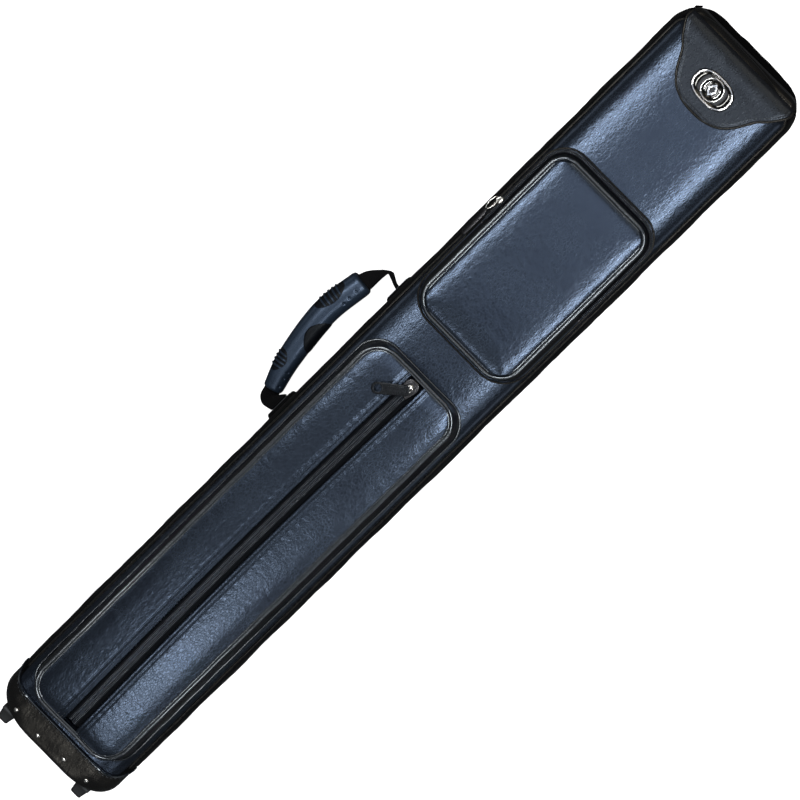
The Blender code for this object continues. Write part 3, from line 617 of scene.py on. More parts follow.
def side_band(name, side):
    """The quilted band down one side, pulled in and out by its lining."""
    profile = np.array(
        ((60.6, 4.9), (63.6, 5.6), (66.4, 9.0), (68.2, 16.0), (69.0, 26.0), (69.2, 38.0),
         (68.9, 48.0), (67.8, 57.0), (66.0, 64.5), (64.3, 69.0), (62.9, 71.6), (61.0, 72.0))
    )
    profile = smooth(profile, 3)
    rows = np.linspace(40.4, MOUTH_S - 0.3, 280)
    centre = ARCH_S - ARCH_CORNER
    over = np.clip(rows - centre, 0.0, None)
    pull = ARCH_CORNER - np.sqrt(ARCH_CORNER**2 - over**2)
    s, k = np.meshgrid(rows, np.arange(len(profile)), indexing="ij")
    base = profile[:, 0][k]
    z = profile[:, 1][k]
    x = base - pull[:, None] * (base - 59.4) / (BAND_HALF - 59.4)
    bulge = np.clip((base - 62.0) / 7.0, 0.0, 1.0)
    x += bulge * (0.65 * ripple(s, z * 2.0, 88.0, 21 + int(side)) + 0.18 * ripple(s, z, 15.0, 23))
    made = skin(f"side_band_skin_{name}", np.stack([side * x, s, z], 2), BAND)
    stands = [f"side_band_{name}"]
    on("case", made, stands_for=stands, slot="band_fabric", pad=0.5)


def arch_path(inset, z, count=90):
    """The outline of the case's top end, from the left foot to the right foot."""
    corner_x, corner_s = BAND_HALF - ARCH_CORNER, ARCH_S - ARCH_CORNER
    radius = ARCH_CORNER - inset
    start = math.asin((MOUTH_S - 8.0 - corner_s) / radius)
    arc = np.linspace(start, math.pi / 2.0, count // 3)
    right = [(corner_x + radius * math.cos(a), corner_s + radius * math.sin(a)) for a in arc]
    top = [(x, right[-1][1] + 0.7 * (1.0 - (x / corner_x) ** 2)) for x in
           np.linspace(corner_x, -corner_x, count // 3)[1:-1]]
    left = [(-x, s) for x, s in reversed(right)]
    path = np.array([*right, *top, *left])[::-1]
    return np.column_stack([path, np.full(len(path), z)])


def back_rim():
    """The padded arch of band fabric behind the lid."""
    levels = (
        (1.8, 4.8), (0.3, 6.6), (0.0, 9.0), (0.5, 11.4), (1.8, 13.2), (4.2, 14.0), (7.5, 13.9),
        (11.0, 13.6), (15.0, 13.4), (20.0, 13.2),
    )
    grid = np.array([arch_path(inset, z) for inset, z in levels])
    wave = ripple(grid[..., 0], grid[..., 1], 20.0, 31)
    weight = np.clip(1.0 - np.array([level[0] for level in levels]) / 12.0, 0.0, 1.0)[:, None]
    out = np.stack([grid[..., 0] / 70.0, (grid[..., 1] - 840.0) / 40.0], 2)
    out /= np.linalg.norm(out, axis=2)[..., None]
    grid[..., :2] += out * (0.45 * wave * weight)[..., None]
    made = skin("back_rim_skin", grid, RIM)
    on("case", thicken(made, 1.2), stands_for=["back_rim"], slot="band_fabric", pad=0.5)
    fold = arch_path(6.6, 14.1)
    on("case", cord("rim_binding", fold, 0.8, RIM, wander=0.3, seed=33), slot="band_fabric")
    end = skin(
        "binding_end",
        [[(-63.0 + a, 862.0 + 0.9 * a + b, 12.6 + 0.4 * b) for a in (0.0, 1.6, 3.2, 4.8)]
         for b in (0.0, 1.5, 3.0)],
        RIM,
    )
    on("case", thicken(end, 0.8), slot="band_fabric")


# ---------------------------------------------------------------- bottom cap


def cap_rim_s(x):
    """How far up the cap reaches at x, on its front."""
    knots = smooth(CAP_RIM, 8)
    return np.interp(np.abs(x), knots[:, 0], knots[:, 1])


def cap_ring(depth, lift=0.0):
    """One loop (x, s, z) round the cap, depth from its end face before the rim's dip."""
    pulls = [
        corner - math.sqrt(max(corner**2 - max(corner - depth, 0.0) ** 2, 0.0))
        for corner in CAP_CORNERS
    ]
    soft = 2.6 - math.sqrt(max(2.6**2 - max(2.6 - depth, 0.0) ** 2, 0.0))
    box = (-CAP_HALF + pulls[0] - lift, CAP_HALF - pulls[1] + lift, soft - lift,
           CAP_FRONT_Z - soft + lift)
    loop = even_loop(round_box(box, [7.0, 7.0, 27.0, 27.0], 12), 2.2, 180)
    front = np.clip((loop[:, 1] - 56.0) / 8.0, 0.0, 1.0)
    rim = 40.0 + (cap_rim_s(loop[:, 0]) - 40.0) * front
    reach = np.where(depth < 12.0, depth, 12.0 + (depth - 12.0) * (rim - 12.0) / 28.0)
    return np.column_stack([loop[:, 0], reach, loop[:, 1]])


def bottom_cap():
    depths = [0.0, 0.25, 0.8, 1.6, 2.6, 4.0, 6.0, 8.5, 12.0, 16.0, 20.0, 24.0, 28.0, 32.0, 36.0,
              38.6, 40.0]
    grid = np.array([cap_ring(depth) for depth in depths])
    wave = 0.22 * ripple(grid[..., 0], grid[..., 1] * 1.4, 26.0, 41)
    grid[..., 2] += np.where(grid[..., 2] > 60.0, wave, 0.0)
    centre = np.array((0.0, 0.0, 40.0))
    tuck = []
    for inset, drop in ((0.03, 0.1), (0.10, 0.9), (0.16, 1.8)):
        ring = grid[-1] + (centre - grid[-1]) * np.array((inset, 0.0, inset * 1.3))
        ring[:, 1] = grid[-1][:, 1] - drop
        tuck.append(ring)
    grid = np.concatenate([grid, tuck])
    rows, cols = grid.shape[:2]
    faces = quads(rows, cols, wrap_cols=True) + [tuple(range(cols))]
    made = mesh_object("bottom_cap_skin", grid.reshape(-1, 3), faces, TRIM)
    on("case", thicken(made, 1.5), stands_for=["bottom_cap"], slot="leatherette")
    rim = cap_ring(40.0, 0.1)
    rim[:, 2] = np.maximum(rim[:, 2], 1.0)
    on("case", cord("cap_rim_welt", rim, 1.0, PIPING, closed=True, step=1.6), slot="leatherette")
    ring = cap_ring(36.2, 0.25)
    ring[:, 2] = np.maximum(ring[:, 2], 0.4)
    row = stitches("cap_thread_1", ring, 4.4, 3.0, 0.36, THREAD, closed=True)
    on("case", row, slot="leatherette")
    for number, (x, s) in enumerate(RIVETS, 1):
        base = CAP_FRONT_Z - 0.2
        profile = [(2.3, base), (2.35, base + 0.35), (2.0, base + 0.9), (1.5, base + 1.35),
                   (0.8, base + 1.62), (0.15, base + 1.7)]
        dome = lathe(f"cap_rivet_dome_{number}", (x, s), profile, NICKEL, 24)
        on("case", dome, stands_for=[f"cap_rivet_{number}"], slot="nickel")


def feet():
    """Tapered rubber feet with a moulded collar and a screw recess."""
    for row, z in zip(("back", "front"), FOOT_Z):
        for side, x in (("left", -FOOT_X), ("right", FOOT_X)):
            rings = []
            for s, size in ((1.6, 15.4), (-1.2, 15.2), (-2.0, 14.4), (-2.6, 13.8), (-8.6, 11.6),
                            (-10.3, 11.2), (-11.0, 10.4), (-11.2, 9.0), (-11.2, 4.4), (-9.4, 4.0)):
                h = size / 2.0
                loop = round_box((x - h, x + h, z - h, z + h), [min(2.6, h * 0.9)] * 4, 5)
                rings.append([(a, s, b) for a, b in loop])
            name = f"foot_{row}_{side}"
            made = tube(f"{name}_moulding", rings, RUBBER)
            on("case", made, stands_for=[name], slot="rubber")


# ---------------------------------------------------------------- lid and flap


def lid():
    """The lid's padded end, which bulges out under the fold of the flap."""
    depth = np.concatenate([[861.2, 863.0, 865.0], np.linspace(866.4, 869.4, 5)])
    rings = []
    for s in depth:
        gone = max(s - 863.4, 0.0) / 6.1
        shrink = 9.0 * (1.0 - math.sqrt(max(1.0 - gone**2, 0.0)))
        box = (-60.4 + shrink, 60.4 - shrink, 15.2 + shrink, 74.0 - shrink * 0.62)
        rings.append([(x, s, z) for x, z in round_box(box, [6.0] * 4, 8)])
    grid = np.array(rings)
    grid[..., 1] += 0.5 * ripple(grid[..., 0], grid[..., 2], 42.0, 51) * (grid[..., 1] > 864.0)
    made = tube("lid_pad", grid, TRIM)
    on("lid", made, stands_for=["lid_cover"], slot="leatherette", pad=0.7)


LIP = smooth(
    ((-58.5, -0.6), (-53.0, 0.8), (-46.0, 3.6), (-33.0, 5.4), (-10.0, 4.8), (14.0, 4.2),
     (30.0, 2.6), (40.0, 0.2), (50.0, -0.6), (58.5, -1.0)), 6
)
CROWN = smooth(
    ((800.0, 0.0), (825.0, 0.0), (838.0, 0.5), (848.0, 1.2), (855.0, 0.5), (860.0, -0.9),
     (862.4, -2.1), (864.0, -3.2)), 6
)


def lid_lip():
    """The soft roll of leather where the flap comes over the lid's end."""
    rows = []
    for x in np.linspace(-58.5, 58.5, 70):
        swell = float(np.interp(x, LIP[:, 0], LIP[:, 1]))
        ring = []
        for turn in np.linspace(0.0, math.pi, 12):
            out, lift = math.sin(turn), math.cos(turn)
            ring.append((x, FOLD_S - 1.6 + (swell + 1.6) * out, 78.4 + 5.4 * lift - 1.0 * out))
        rows.append(ring)
    made = skin("lid_lip", rows, TRIM)
    on("lid", thicken(made, 1.0), slot="leatherette", pad=0.4)


def flap_half(s):
    """Half width of the flap at s."""
    knots = smooth(FLAP_EDGE[::-1], 8)
    return np.interp(s, knots[:, 1], knots[:, 0])


def flap_height(x, s):
    """The flap's upper face: proud at the fold, sunk round the badge, soft at its edge."""
    z = FLAP_TOP + np.interp(s, CROWN[:, 0], CROWN[:, 1])
    z += 0.28 * ripple(x, s, 34.0, 61) * np.clip((FOLD_S - s) / 12.0, 0.0, 1.0)
    return z


def top_flap():
    rows = np.concatenate([np.linspace(802.75, 804.0, 7), np.linspace(804.6, 862.0, 84),
                           np.linspace(862.4, 863.9, 4)])
    across = np.sin(np.linspace(-1.0, 1.0, 81) * math.pi / 2.0) * 0.3 + np.linspace(-1, 1, 81) * 0.7
    s, u = np.meshgrid(rows, across, indexing="ij")
    half = flap_half(s)
    x = half * u
    inner = np.minimum((1.0 - np.abs(u)) * half, s - 802.6)
    z = flap_height(x, s) - 1.5 * np.exp(-((inner / 0.9) ** 2))
    z -= 0.34 * np.exp(-(((inner - 3.0) / 0.7) ** 2))
    made = skin("top_flap_skin", np.stack([x, s, z], 2), FLAP, up=True)
    on("flap", thicken(made, 2.0), stands_for=["top_flap"], slot="leatherette")
    edge = smooth(FLAP_EDGE, 6)
    edge = np.vstack([edge, edge[::-1][1:] * (-1.0, 1.0)])
    edge = resample(edge, 1.2)
    border = np.column_stack([edge, flap_height(edge[:, 0], edge[:, 1]) - 1.5])
    binding = cord("flap_edge_binding", border, 1.15, TRIM, step=1.4)
    on("flap", binding, slot="leatherette")
    seam = [(x * (1.0 - 3.1 / max(abs(x), 12.0)), s + (2.9 if abs(x) < 42 else 1.2))
            for x, s in edge]
    seam = np.array([point for point in seam if point[1] < 861.0])
    seam = np.column_stack([seam, flap_height(seam[:, 0], seam[:, 1]) - 0.1])
    on("flap", stitches("flap_thread", seam, 3.6, 2.5, 0.32, THREAD), slot="leatherette")


def badge():
    """A chrome oval with a rolled rim, dished, holding a ringed diamond."""
    base = FLAP_TOP + 0.1
    plate_profile = [
        (reach, base + rise) for reach, rise in (
            (1.0, 0.0), (1.0, 0.9), (0.985, 1.6), (0.95, 2.15), (0.90, 2.4), (0.85, 2.25),
            (0.81, 1.8), (0.72, 1.45), (0.5, 1.25), (0.02, 1.2),
        )
    ]
    made = lathe("badge_dish", BADGE, plate_profile, DARK_CHROME, 72, (20.2, 13.6), 2.5)
    on("flap", made, stands_for=["badge_plate"], slot="chrome")
    turns = full_turn(120)
    bent = [np.sign(v) * np.abs(v) ** 0.8 for v in (np.cos(turns), np.sin(turns))]
    rim = np.column_stack([BADGE[0] + 18.5 * bent[0], BADGE[1] + 12.2 * bent[1],
                           np.full(120, base + 2.0)])
    on("flap", sweep("badge_rim", rim, round_profile(1.15, 10, 0.7), CHROME, closed=True),
       slot="chrome")
    floor = base + 1.3
    ring_profile = ((10.4, floor), (10.3, floor + 0.8), (9.9, floor + 1.25), (9.3, floor + 1.25),
                    (8.9, floor + 0.8), (8.8, floor + 0.1), (4.0, floor + 0.25), (0.1, floor + 0.3))
    ring = lathe("badge_ring", BADGE, ring_profile, DARK_CHROME, 48)
    on("flap", ring, stands_for=["badge_medallion"], slot="chrome")
    x, s = BADGE
    outer = [(0.0, 6.6), (4.6, 0.0), (0.0, -6.6), (-4.6, 0.0)]
    inner = [(0.0, 3.9), (-2.7, 0.0), (0.0, -3.9), (2.7, 0.0)]
    halo = [(x + 9.7 * math.cos(a), s + 9.7 * math.sin(a), floor + 1.0) for a in turns]
    on("flap", sweep("badge_halo", halo, round_profile(0.75, 10), CHROME, closed=True),
       slot="chrome")
    diamond = plate("badge_diamond", [outer, inner], floor + 0.2, floor + 1.35, 0.3, CHROME, (x, s))
    on("flap", diamond, slot="chrome")
    for number, side in enumerate((-1.0, 1.0), 1):
        arc = [(x + side * (7.0 * math.cos(a)), s + 7.0 * math.sin(a), floor + 0.7)
               for a in np.linspace(-0.75, 0.75, 14)]
        on("flap", cord(f"badge_arc_{number}", arc, 0.7, CHROME, step=0.7), slot="chrome")


# ---------------------------------------------------------------- upper pocket


def upper_outline(inset, steps=10):
    return np.array(inset_outline(UPPER_BASE, UPPER_RADII, inset, steps))


def split_outline(outline, above):
    """The part of a closed outline above or below the fold line, in order, ends on the line."""
    loop = resample(outline, 1.5, True)
    keep = loop[:, 1] > UPPER_FOLD_S if above else loop[:, 1] < UPPER_FOLD_S
    first = next(i for i in range(len(loop)) if keep[i] and not keep[i - 1])
    run = np.array([loop[(first + i) % len(loop)] for i in range(int(keep.sum()))])
    run[0, 1] = run[-1, 1] = UPPER_FOLD_S
    return run


def wall(name, outlines):
    """A gusset wall over outlines given with their heights, all cut alike."""
    grid = np.array([np.column_stack([o, np.full(len(o), z)]) for o, z in outlines])
    return skin(name, grid.swapaxes(0, 1), WALL)


def matched(above, pairs, count):
    """The outline above or below the fold at each (inset, z), with count points each."""
    out = []
    for inset, z in pairs:
        run = split_outline(upper_outline(inset), above)
        marks = np.linspace(0.0, 1.0, count)
        gone = np.concatenate([[0.0], np.cumsum(np.linalg.norm(np.diff(run, axis=0), axis=1))])
        gone /= gone[-1]
        out.append((np.stack([np.interp(marks, gone, run[:, k]) for k in (0, 1)], 1), z))
    return out


def upper_face_height(x, s):
    """The domed face, flat at the welt and full in the middle."""
    x0, x1, s0, s1 = (UPPER_BASE[0] + 7.2, UPPER_BASE[1] - 7.2, UPPER_BASE[2] + 7.2,
                      UPPER_BASE[3] - 7.2)
    near = np.minimum(np.minimum(x - x0, x1 - x), np.minimum(s - s0, s1 - s))
    z = 108.4 + 3.6 * crown(near / 30.0, 2.6)
    return z + 0.06 * ripple(x, s * 0.6, 34.0, 71) + 0.02 * ripple(x, s * 0.7, 14.0, 72)


def upper_pocket():
    pairs = [(-0.4, 86.0), (0.1, 88.6), (0.9, 92.0), (1.7, 95.0), (2.3, 96.8)]
    base = matched(True, pairs, 130)
    lower_pairs = [(-0.4, 86.0), (0.1, 88.6), (1.0, 93.0), (2.2, 98.0), (3.4, 103.0), (4.2, 106.9)]
    lower = matched(False, lower_pairs, 110)
    made = wall("upper_gusset_skin", lower)
    strip = wall("upper_gusset_strip", base)
    on("case", thicken(made, 1.2), stands_for=["upper_pocket_gusset"], slot="leatherette")
    on("case", thicken(strip, 1.2), slot="leatherette")
    lid_pairs = [(1.6, 97.9), (2.4, 99.0), (3.3, 102.5), (4.2, 106.9)]
    cover = wall("upper_cover_wall", matched(True, lid_pairs, 130))
    on("pocket_cover", thicken(cover, 1.2), stands_for=["upper_pocket_cover"], slot="leatherette")
    loop = resample(upper_outline(7.0, 16), 2.6, True)
    centre_x = (UPPER_BASE[0] + UPPER_BASE[1]) / 2.0
    parts = np.concatenate([np.linspace(0.0, 0.16, 8), np.linspace(0.2, 0.97, 22)])
    rings = []
    for part in parts:
        middle = np.clip(loop[:, 1], UPPER_BASE[2] + 62.0, UPPER_BASE[3] - 62.0)
        target = np.stack([np.full(len(loop), centre_x), middle], 1)
        xy = loop + (target - loop) * part
        rings.append(np.column_stack([xy, upper_face_height(xy[:, 0], xy[:, 1])]))
    face = skin("upper_face_skin", rings, POCKET, wrap_cols=True, up=True)
    fill = bmesh.new()
    fill.from_mesh(face.data)
    inner = [edge for edge in fill.edges if edge.is_boundary
             and all(abs(v.co.x) < 0.02 for v in edge.verts)]
    bmesh.ops.holes_fill(fill, edges=inner, sides=0)
    fill.to_mesh(face.data)
    fill.free()
    face.data.shade_smooth()
    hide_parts("upper_pocket_lower_face")
    thicken(face, 1.6)
    fold = put([(0.0, UPPER_FOLD_S - 7.0, 111.2), (0.0, UPPER_FOLD_S + 7.0, 111.2)])
    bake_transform(face)
    for name, inset, radius, z, stand in (
        ("upper_welt", 5.2, 1.75, 108.6, ("upper_piping_lower", "upper_piping_cover")),
        ("upper_bead", 7.9, 1.15, 108.7, ()),
    ):
        path = at_height(upper_outline(inset, 16), z)
        made = cord(name, path, radius, PIPING, closed=True, step=2.2, wander=0.12, seed=73)
        if stand:
            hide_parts(*stand)
        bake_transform(made)
    line = at_height(upper_outline(-2.0, 12), 86.9)
    welt = cord("upper_base_welt", line, 0.9, TRIM, closed=True, wander=0.1)
    on("case", welt, slot="leatherette")


def teeth(name, path, pitch, size, material, offset=0.0, shift=0.0):
    """A row of coil teeth across a path, each a small rounded bead."""
    points = resample(path, pitch)
    tangent, side, up = frames_along(points)
    beads, faces = [], []
    ring_count, around = 5, 8
    for i in range(len(points)):
        middle = points[i] + side[i] * offset + tangent[i] * shift * pitch
        base = len(beads)
        for ring in range(ring_count):
            angle = math.pi * (ring + 0.5) / ring_count
            reach, away = math.sin(angle), -math.cos(angle)
            for turn in range(around):
                round_at = 2.0 * math.pi * turn / around
                beads.append(
                    middle
                    + side[i] * size[0] / 2.0 * away
                    + tangent[i] * size[1] / 2.0 * reach**0.6 * math.cos(round_at)
                    + up[i] * size[2] / 2.0 * reach**0.6 * math.sin(round_at)
                )
        for ring in range(ring_count - 1):
            for turn in range(around):
                a, b = base + ring * around + turn, base + ring * around + (turn + 1) % around
                faces.append((a, b, b + around, a + around))
        last = base + (ring_count - 1) * around
        faces += [tuple(range(base, base + around)), tuple(range(last, last + around))]
    return mesh_object(name, beads, faces, material)


def upper_u(inset, z, low):
    """From the left end up round the pocket's top to the right end."""
    run = split_outline(upper_outline(inset, 14), True)[::-1]
    return np.array([(x, s, z) for x, s in run if s > low])


def upper_zipper():
    low = UPPER_FOLD_S + 1.0
    tape = upper_u(1.4, 97.4, low)
    flat = [(-1.6, -0.9), (1.6, 0.9), (1.6, 1.3), (-1.6, -0.5)]
    on("case", sweep("upper_zip_tape", tape, flat, TAPE), slot="zip_tape")
    base = teeth("upper_teeth_base", upper_u(-1.0, 96.4, low), 1.45, (2.2, 0.85, 1.5), COIL)
    on("case", base, stands_for=["upper_zip_coil_base"], slot="zip_coil")
    cover = teeth(
        "upper_teeth_cover", upper_u(0.4, 98.4, low), 1.45, (2.2, 0.85, 1.5), COIL, shift=0.5
    )
    on("pocket_cover", cover, stands_for=["upper_zip_coil_cover"], slot="zip_coil")
    for name, side in (("left", -1.0), ("right", 1.0)):
        box = (57.6, 59.6, UPPER_FOLD_S - 4.0, UPPER_FOLD_S - 1.8)
        loop = [(side * x, s) for x, s in round_box(box, [0.8] * 4, 4)]
        stop = plate(f"upper_stop_{name}", [loop], 96.2, 98.4, 0.5, STEEL)
        on("case", stop, stands_for=[f"upper_zip_stop_{name}"], slot="nickel")


def upper_slider():
    """A nickel slider on the left run, its loop and its long gunmetal pull."""
    s = UPPER_SLIDER_S
    rings = []
    for x, grow in ((-58.6, -0.5), (-58.9, 0.0), (-60.8, 0.0), (-61.5, -0.6), (-61.8, -1.4)):
        box = (s - 3.6 - grow, s + 4.2 + grow, 94.6 - grow, 100.2 + grow)
        rings.append([(x, a, b) for a, b in round_box(box, [2.2] * 4, 5)])
    body = tube("upper_slider_body", rings, NICKEL)
    on("upper_zip_slider", body, stands_for=["upper_slider"], slot="nickel")
    bridge = [(-61.0, s + 2.8, 97.4), (-62.6, s + 2.2, 98.2), (-63.3, s + 0.2, 98.6),
              (-62.8, s - 2.0, 98.4), (-61.2, s - 3.0, 97.6)]
    arm = sweep("upper_slider_bridge", smooth(bridge, 5), round_profile(0.8, 10, 0.8), NICKEL)
    on("upper_zip_slider", arm, slot="nickel")
    loop = []
    for angle in full_turn(30):
        reach = 3.1 * math.cos(angle)
        loop.append((-64.3 + 0.75 * reach, s - 6.0 + 6.8 * math.sin(angle), 98.8 - 0.45 * reach))
    ring = sweep("upper_pull_loop", loop, round_profile(0.7), NICKEL, closed=True)
    on("upper_zip_pull", ring, slot="nickel")
    rows = []
    for along, half in ((-11.6, 1.6), (-12.2, 2.4), (-13.4, 3.0), (-17.0, 3.3), (-30.0, 3.5),
                        (-38.0, 3.4), (-40.4, 2.9), (-41.6, 1.8)):
        turned = math.radians(46.0)
        x, z = -64.4 - 0.02 * along, 97.6 + 0.05 * along
        ring = []
        for a, b in round_box((-half, half, -0.8, 0.8), [0.6] * 4, 3):
            ring.append((x - a * math.cos(turned) - b * math.sin(turned), s - 2.0 + along,
                         z - a * math.sin(turned) + b * math.cos(turned)))
        rows.append(ring)
    tab = tube("upper_pull_bar", rows, STEEL)
    on("upper_zip_pull", tab, stands_for=["upper_pull_tab"], slot="gunmetal")


# ---------------------------------------------------------------- lower pocket


def zip_x(s):
    """The zipper's centre line, which bows a little towards the handle."""
    t = np.clip((np.asarray(s, float) - ZIP_S[0]) / (ZIP_S[1] - ZIP_S[0]), 0.0, 1.0)
    return ZIP_BOW[0] + (ZIP_BOW[1] - ZIP_BOW[0]) * np.sin(math.pi * t)


def lower_walls():
    pairs = [(-0.2, 86.0, 0.0), (0.2, 88.5, 0.1), (0.4, 94.0, 0.36), (0.2, 101.0, 0.7),
             (0.0, 107.0, 0.94), (0.2, 109.8, 1.0)]
    loops = []
    for inset, z, part in pairs:
        box = [a + (b - a) * part for a, b in zip(LOWER_BASE, LOWER_TOP)]
        loop = even_loop(inset_outline(box, [LOWER_CORNER] * 4, inset, 12), 4.0, 280)
        loops.append((loop, z))
    grid = np.array([np.column_stack([o, np.full(len(o), z)]) for o, z in loops])
    middle = np.array([0.0, 0.6, 1.0, 1.0, 0.6, 0.0])[:, None]
    sag = middle * ripple(grid[..., 0], grid[..., 1], 52.0, 81)
    grid[..., 0] += 0.55 * sag * np.sign(grid[..., 0])
    made = skin("lower_gusset_skin", grid.swapaxes(0, 1), WALL, wrap_rows=True)
    on("case", thicken(made, 1.3), stands_for=["lower_pocket_gusset"], slot="leatherette", pad=0.3)
    for name, box, inset, z, radius, wander, seed, stand in (
        ("lower_welt", LOWER_TOP, 0.8, 111.3, 1.75, 0.25, 83, ["lower_face_piping"]),
        ("lower_bead", LOWER_TOP, 3.2, 111.5, 1.0, 0.25, 83, ()),
        ("lower_base_welt", LOWER_BASE, -0.3, 87.2, 1.1, 0.2, 84, ["lower_base_piping"]),
    ):
        path = at_height(inset_outline(box, [LOWER_CORNER] * 4, inset, 14), z)
        welt = cord(name, path, radius, PIPING, closed=True, step=2.6, wander=wander, seed=seed)
        on("case", welt, stands_for=stand, slot="piping")


def lower_panel(name, side):
    """One half of the pocket's face, from the welt to the folded edge beside the zipper."""
    x0, x1, s0, s1 = (limit + inward * WELT_INSET
                      for limit, inward in zip(LOWER_TOP, (1.0, -1.0, 1.0, -1.0)))
    corner = LOWER_CORNER - WELT_INSET
    ends = corner * (1.0 - np.cos(np.linspace(0.0, math.pi / 2.0, 16)))
    rows = np.concatenate([s0 + ends, np.linspace(s0 + corner + 1.4, s1 - corner - 1.4, 300),
                           (s1 - ends)[::-1]])
    rows = np.clip(rows, s0 + 0.05, s1 - 0.05)
    fine = np.linspace(0.0, 1.0, 30) * FINE_STRIP
    outer_part = np.linspace(0.0, 1.0, 46)[:-1]
    over = np.clip(corner - np.minimum(rows - s0, s1 - rows), 0.0, corner)
    pull = corner - np.sqrt(np.clip(corner**2 - over**2, 0.0, None))
    edge = zip_x(rows) + side * EDGE_GAP[side]
    outer = (x1 - pull) if side > 0 else (x0 + pull)
    grid = []
    for s, near, far in zip(rows, edge, outer):
        wide = abs(far - near)
        away = np.concatenate([outer_part * (wide - FINE_STRIP), wide - fine[::-1]])
        x = far - side * away
        grid.append(np.column_stack([x, np.full(len(x), s)]))
    grid = np.array(grid)
    x, s = grid[..., 0], grid[..., 1]
    near = np.abs(x - edge[:, None])
    rim = np.minimum(np.abs(outer[:, None] - x), np.minimum(s - s0, s1 - s))
    z = 110.6 + 2.1 * crown(rim / 17.0, 2.4)
    lean = np.clip((near - 14.0) / 24.0, 0.0, 1.0)
    full = crown((s - s0) / 50.0) * crown((s1 - s) / 50.0)
    rise = np.clip(near / 9.0, 0.0, 1.0)
    lofted = rise * (2.0 - rise) * (1.0 - np.clip(near / 41.0, 0.0, 1.0) ** 2)
    z += full * (2.5 if side > 0 else 1.2) * lofted
    z += 0.55 * np.exp(-(((near - 1.3) / 0.9) ** 2)) - 1.3 * np.exp(-((near / 0.6) ** 2))
    rows_at = (3.3, 7.5) if side < 0 else (3.0, 6.8)
    z += 0.3 * np.exp(-(((near - 4.6) / 0.8) ** 2))
    for row in rows_at:
        z -= 0.36 * np.exp(-(((near - row) / 0.75) ** 2))
    pucker = np.sin(2.0 * math.pi * s / 8.3 + 0.6 * np.sin(s / 31.0))
    z += 0.05 * (np.exp(-(((near - 8.6) / 3.4) ** 2)) * pucker)
    z += 0.09 * ripple(x, s * 0.5, 40.0, 85 + int(side)) * np.clip(rim / 8.0, 0.0, 1.0)
    z += 0.05 * lean * ripple(x * 0.5, s, 19.0, 88)
    made = skin(f"lower_face_skin_{name}", np.stack([x, s, z], 2), POCKET, up=True)
    on("case", thicken(made, 1.2), stands_for=[f"lower_panel_{name}"], slot="leatherette", pad=0.5)
    for number, row in enumerate(rows_at, 1):
        marks = np.linspace(s0 + 3.0, s1 - 3.0, 200)
        path = np.column_stack([zip_x(marks) + side * EDGE_GAP[side] + side * row, marks,
                                np.full(200, 112.4)])
        thread = stitches(f"lower_thread_{name}_{number}", path, 3.5, 2.3, 0.3, THREAD)
        on("case", thread, slot="leatherette")


def lower_zipper():
    s0 = ZIP_S[0]
    marks = np.linspace(s0, LOWER_SLIDER_S[0] + 3.0, 120)
    line = np.column_stack([zip_x(marks), marks, np.full(120, 111.5)])
    for name, offset, shift in (("left", 2.25, 0.0), ("right", -2.6, 0.5)):
        row = teeth(f"lower_teeth_{name}", line, 1.36, (3.7, 0.72, 1.8), COIL, offset, shift)
        stand = ["lower_zip_coil"] if name == "left" else ()
        on("case", row, stands_for=stand, slot="zip_coil")
    centre = line + np.array((0.0, 0.0, 0.35))
    on("case", cord("lower_coil_core", centre, 0.42, COIL, step=3.0), slot="zip_coil")
    marks = np.linspace(s0, 476.6, 130)
    for name, side in (("left", -1.0), ("right", 1.0)):
        path = np.column_stack([zip_x(marks) + side * 5.4, marks, np.full(130, 110.7)])
        flat = [(-2.6, -0.3), (2.6, -0.3), (2.6, 0.3), (-2.6, 0.3)]
        tape = sweep(f"lower_tape_{name}", path, flat, TAPE)
        on("case", tape, stands_for=[f"lower_zip_tape_{name}"], slot="zip_tape")
    x = zip_x(475.0)
    loop = round_box((x - 3.6, x + 3.6, 475.2, 477.6), [0.9] * 4, 4)
    stop = plate("lower_top_stop", [loop], 110.4, 112.6, 0.5, NICKEL)
    on("case", stop, stands_for=["lower_zip_top_stop"], slot="nickel")


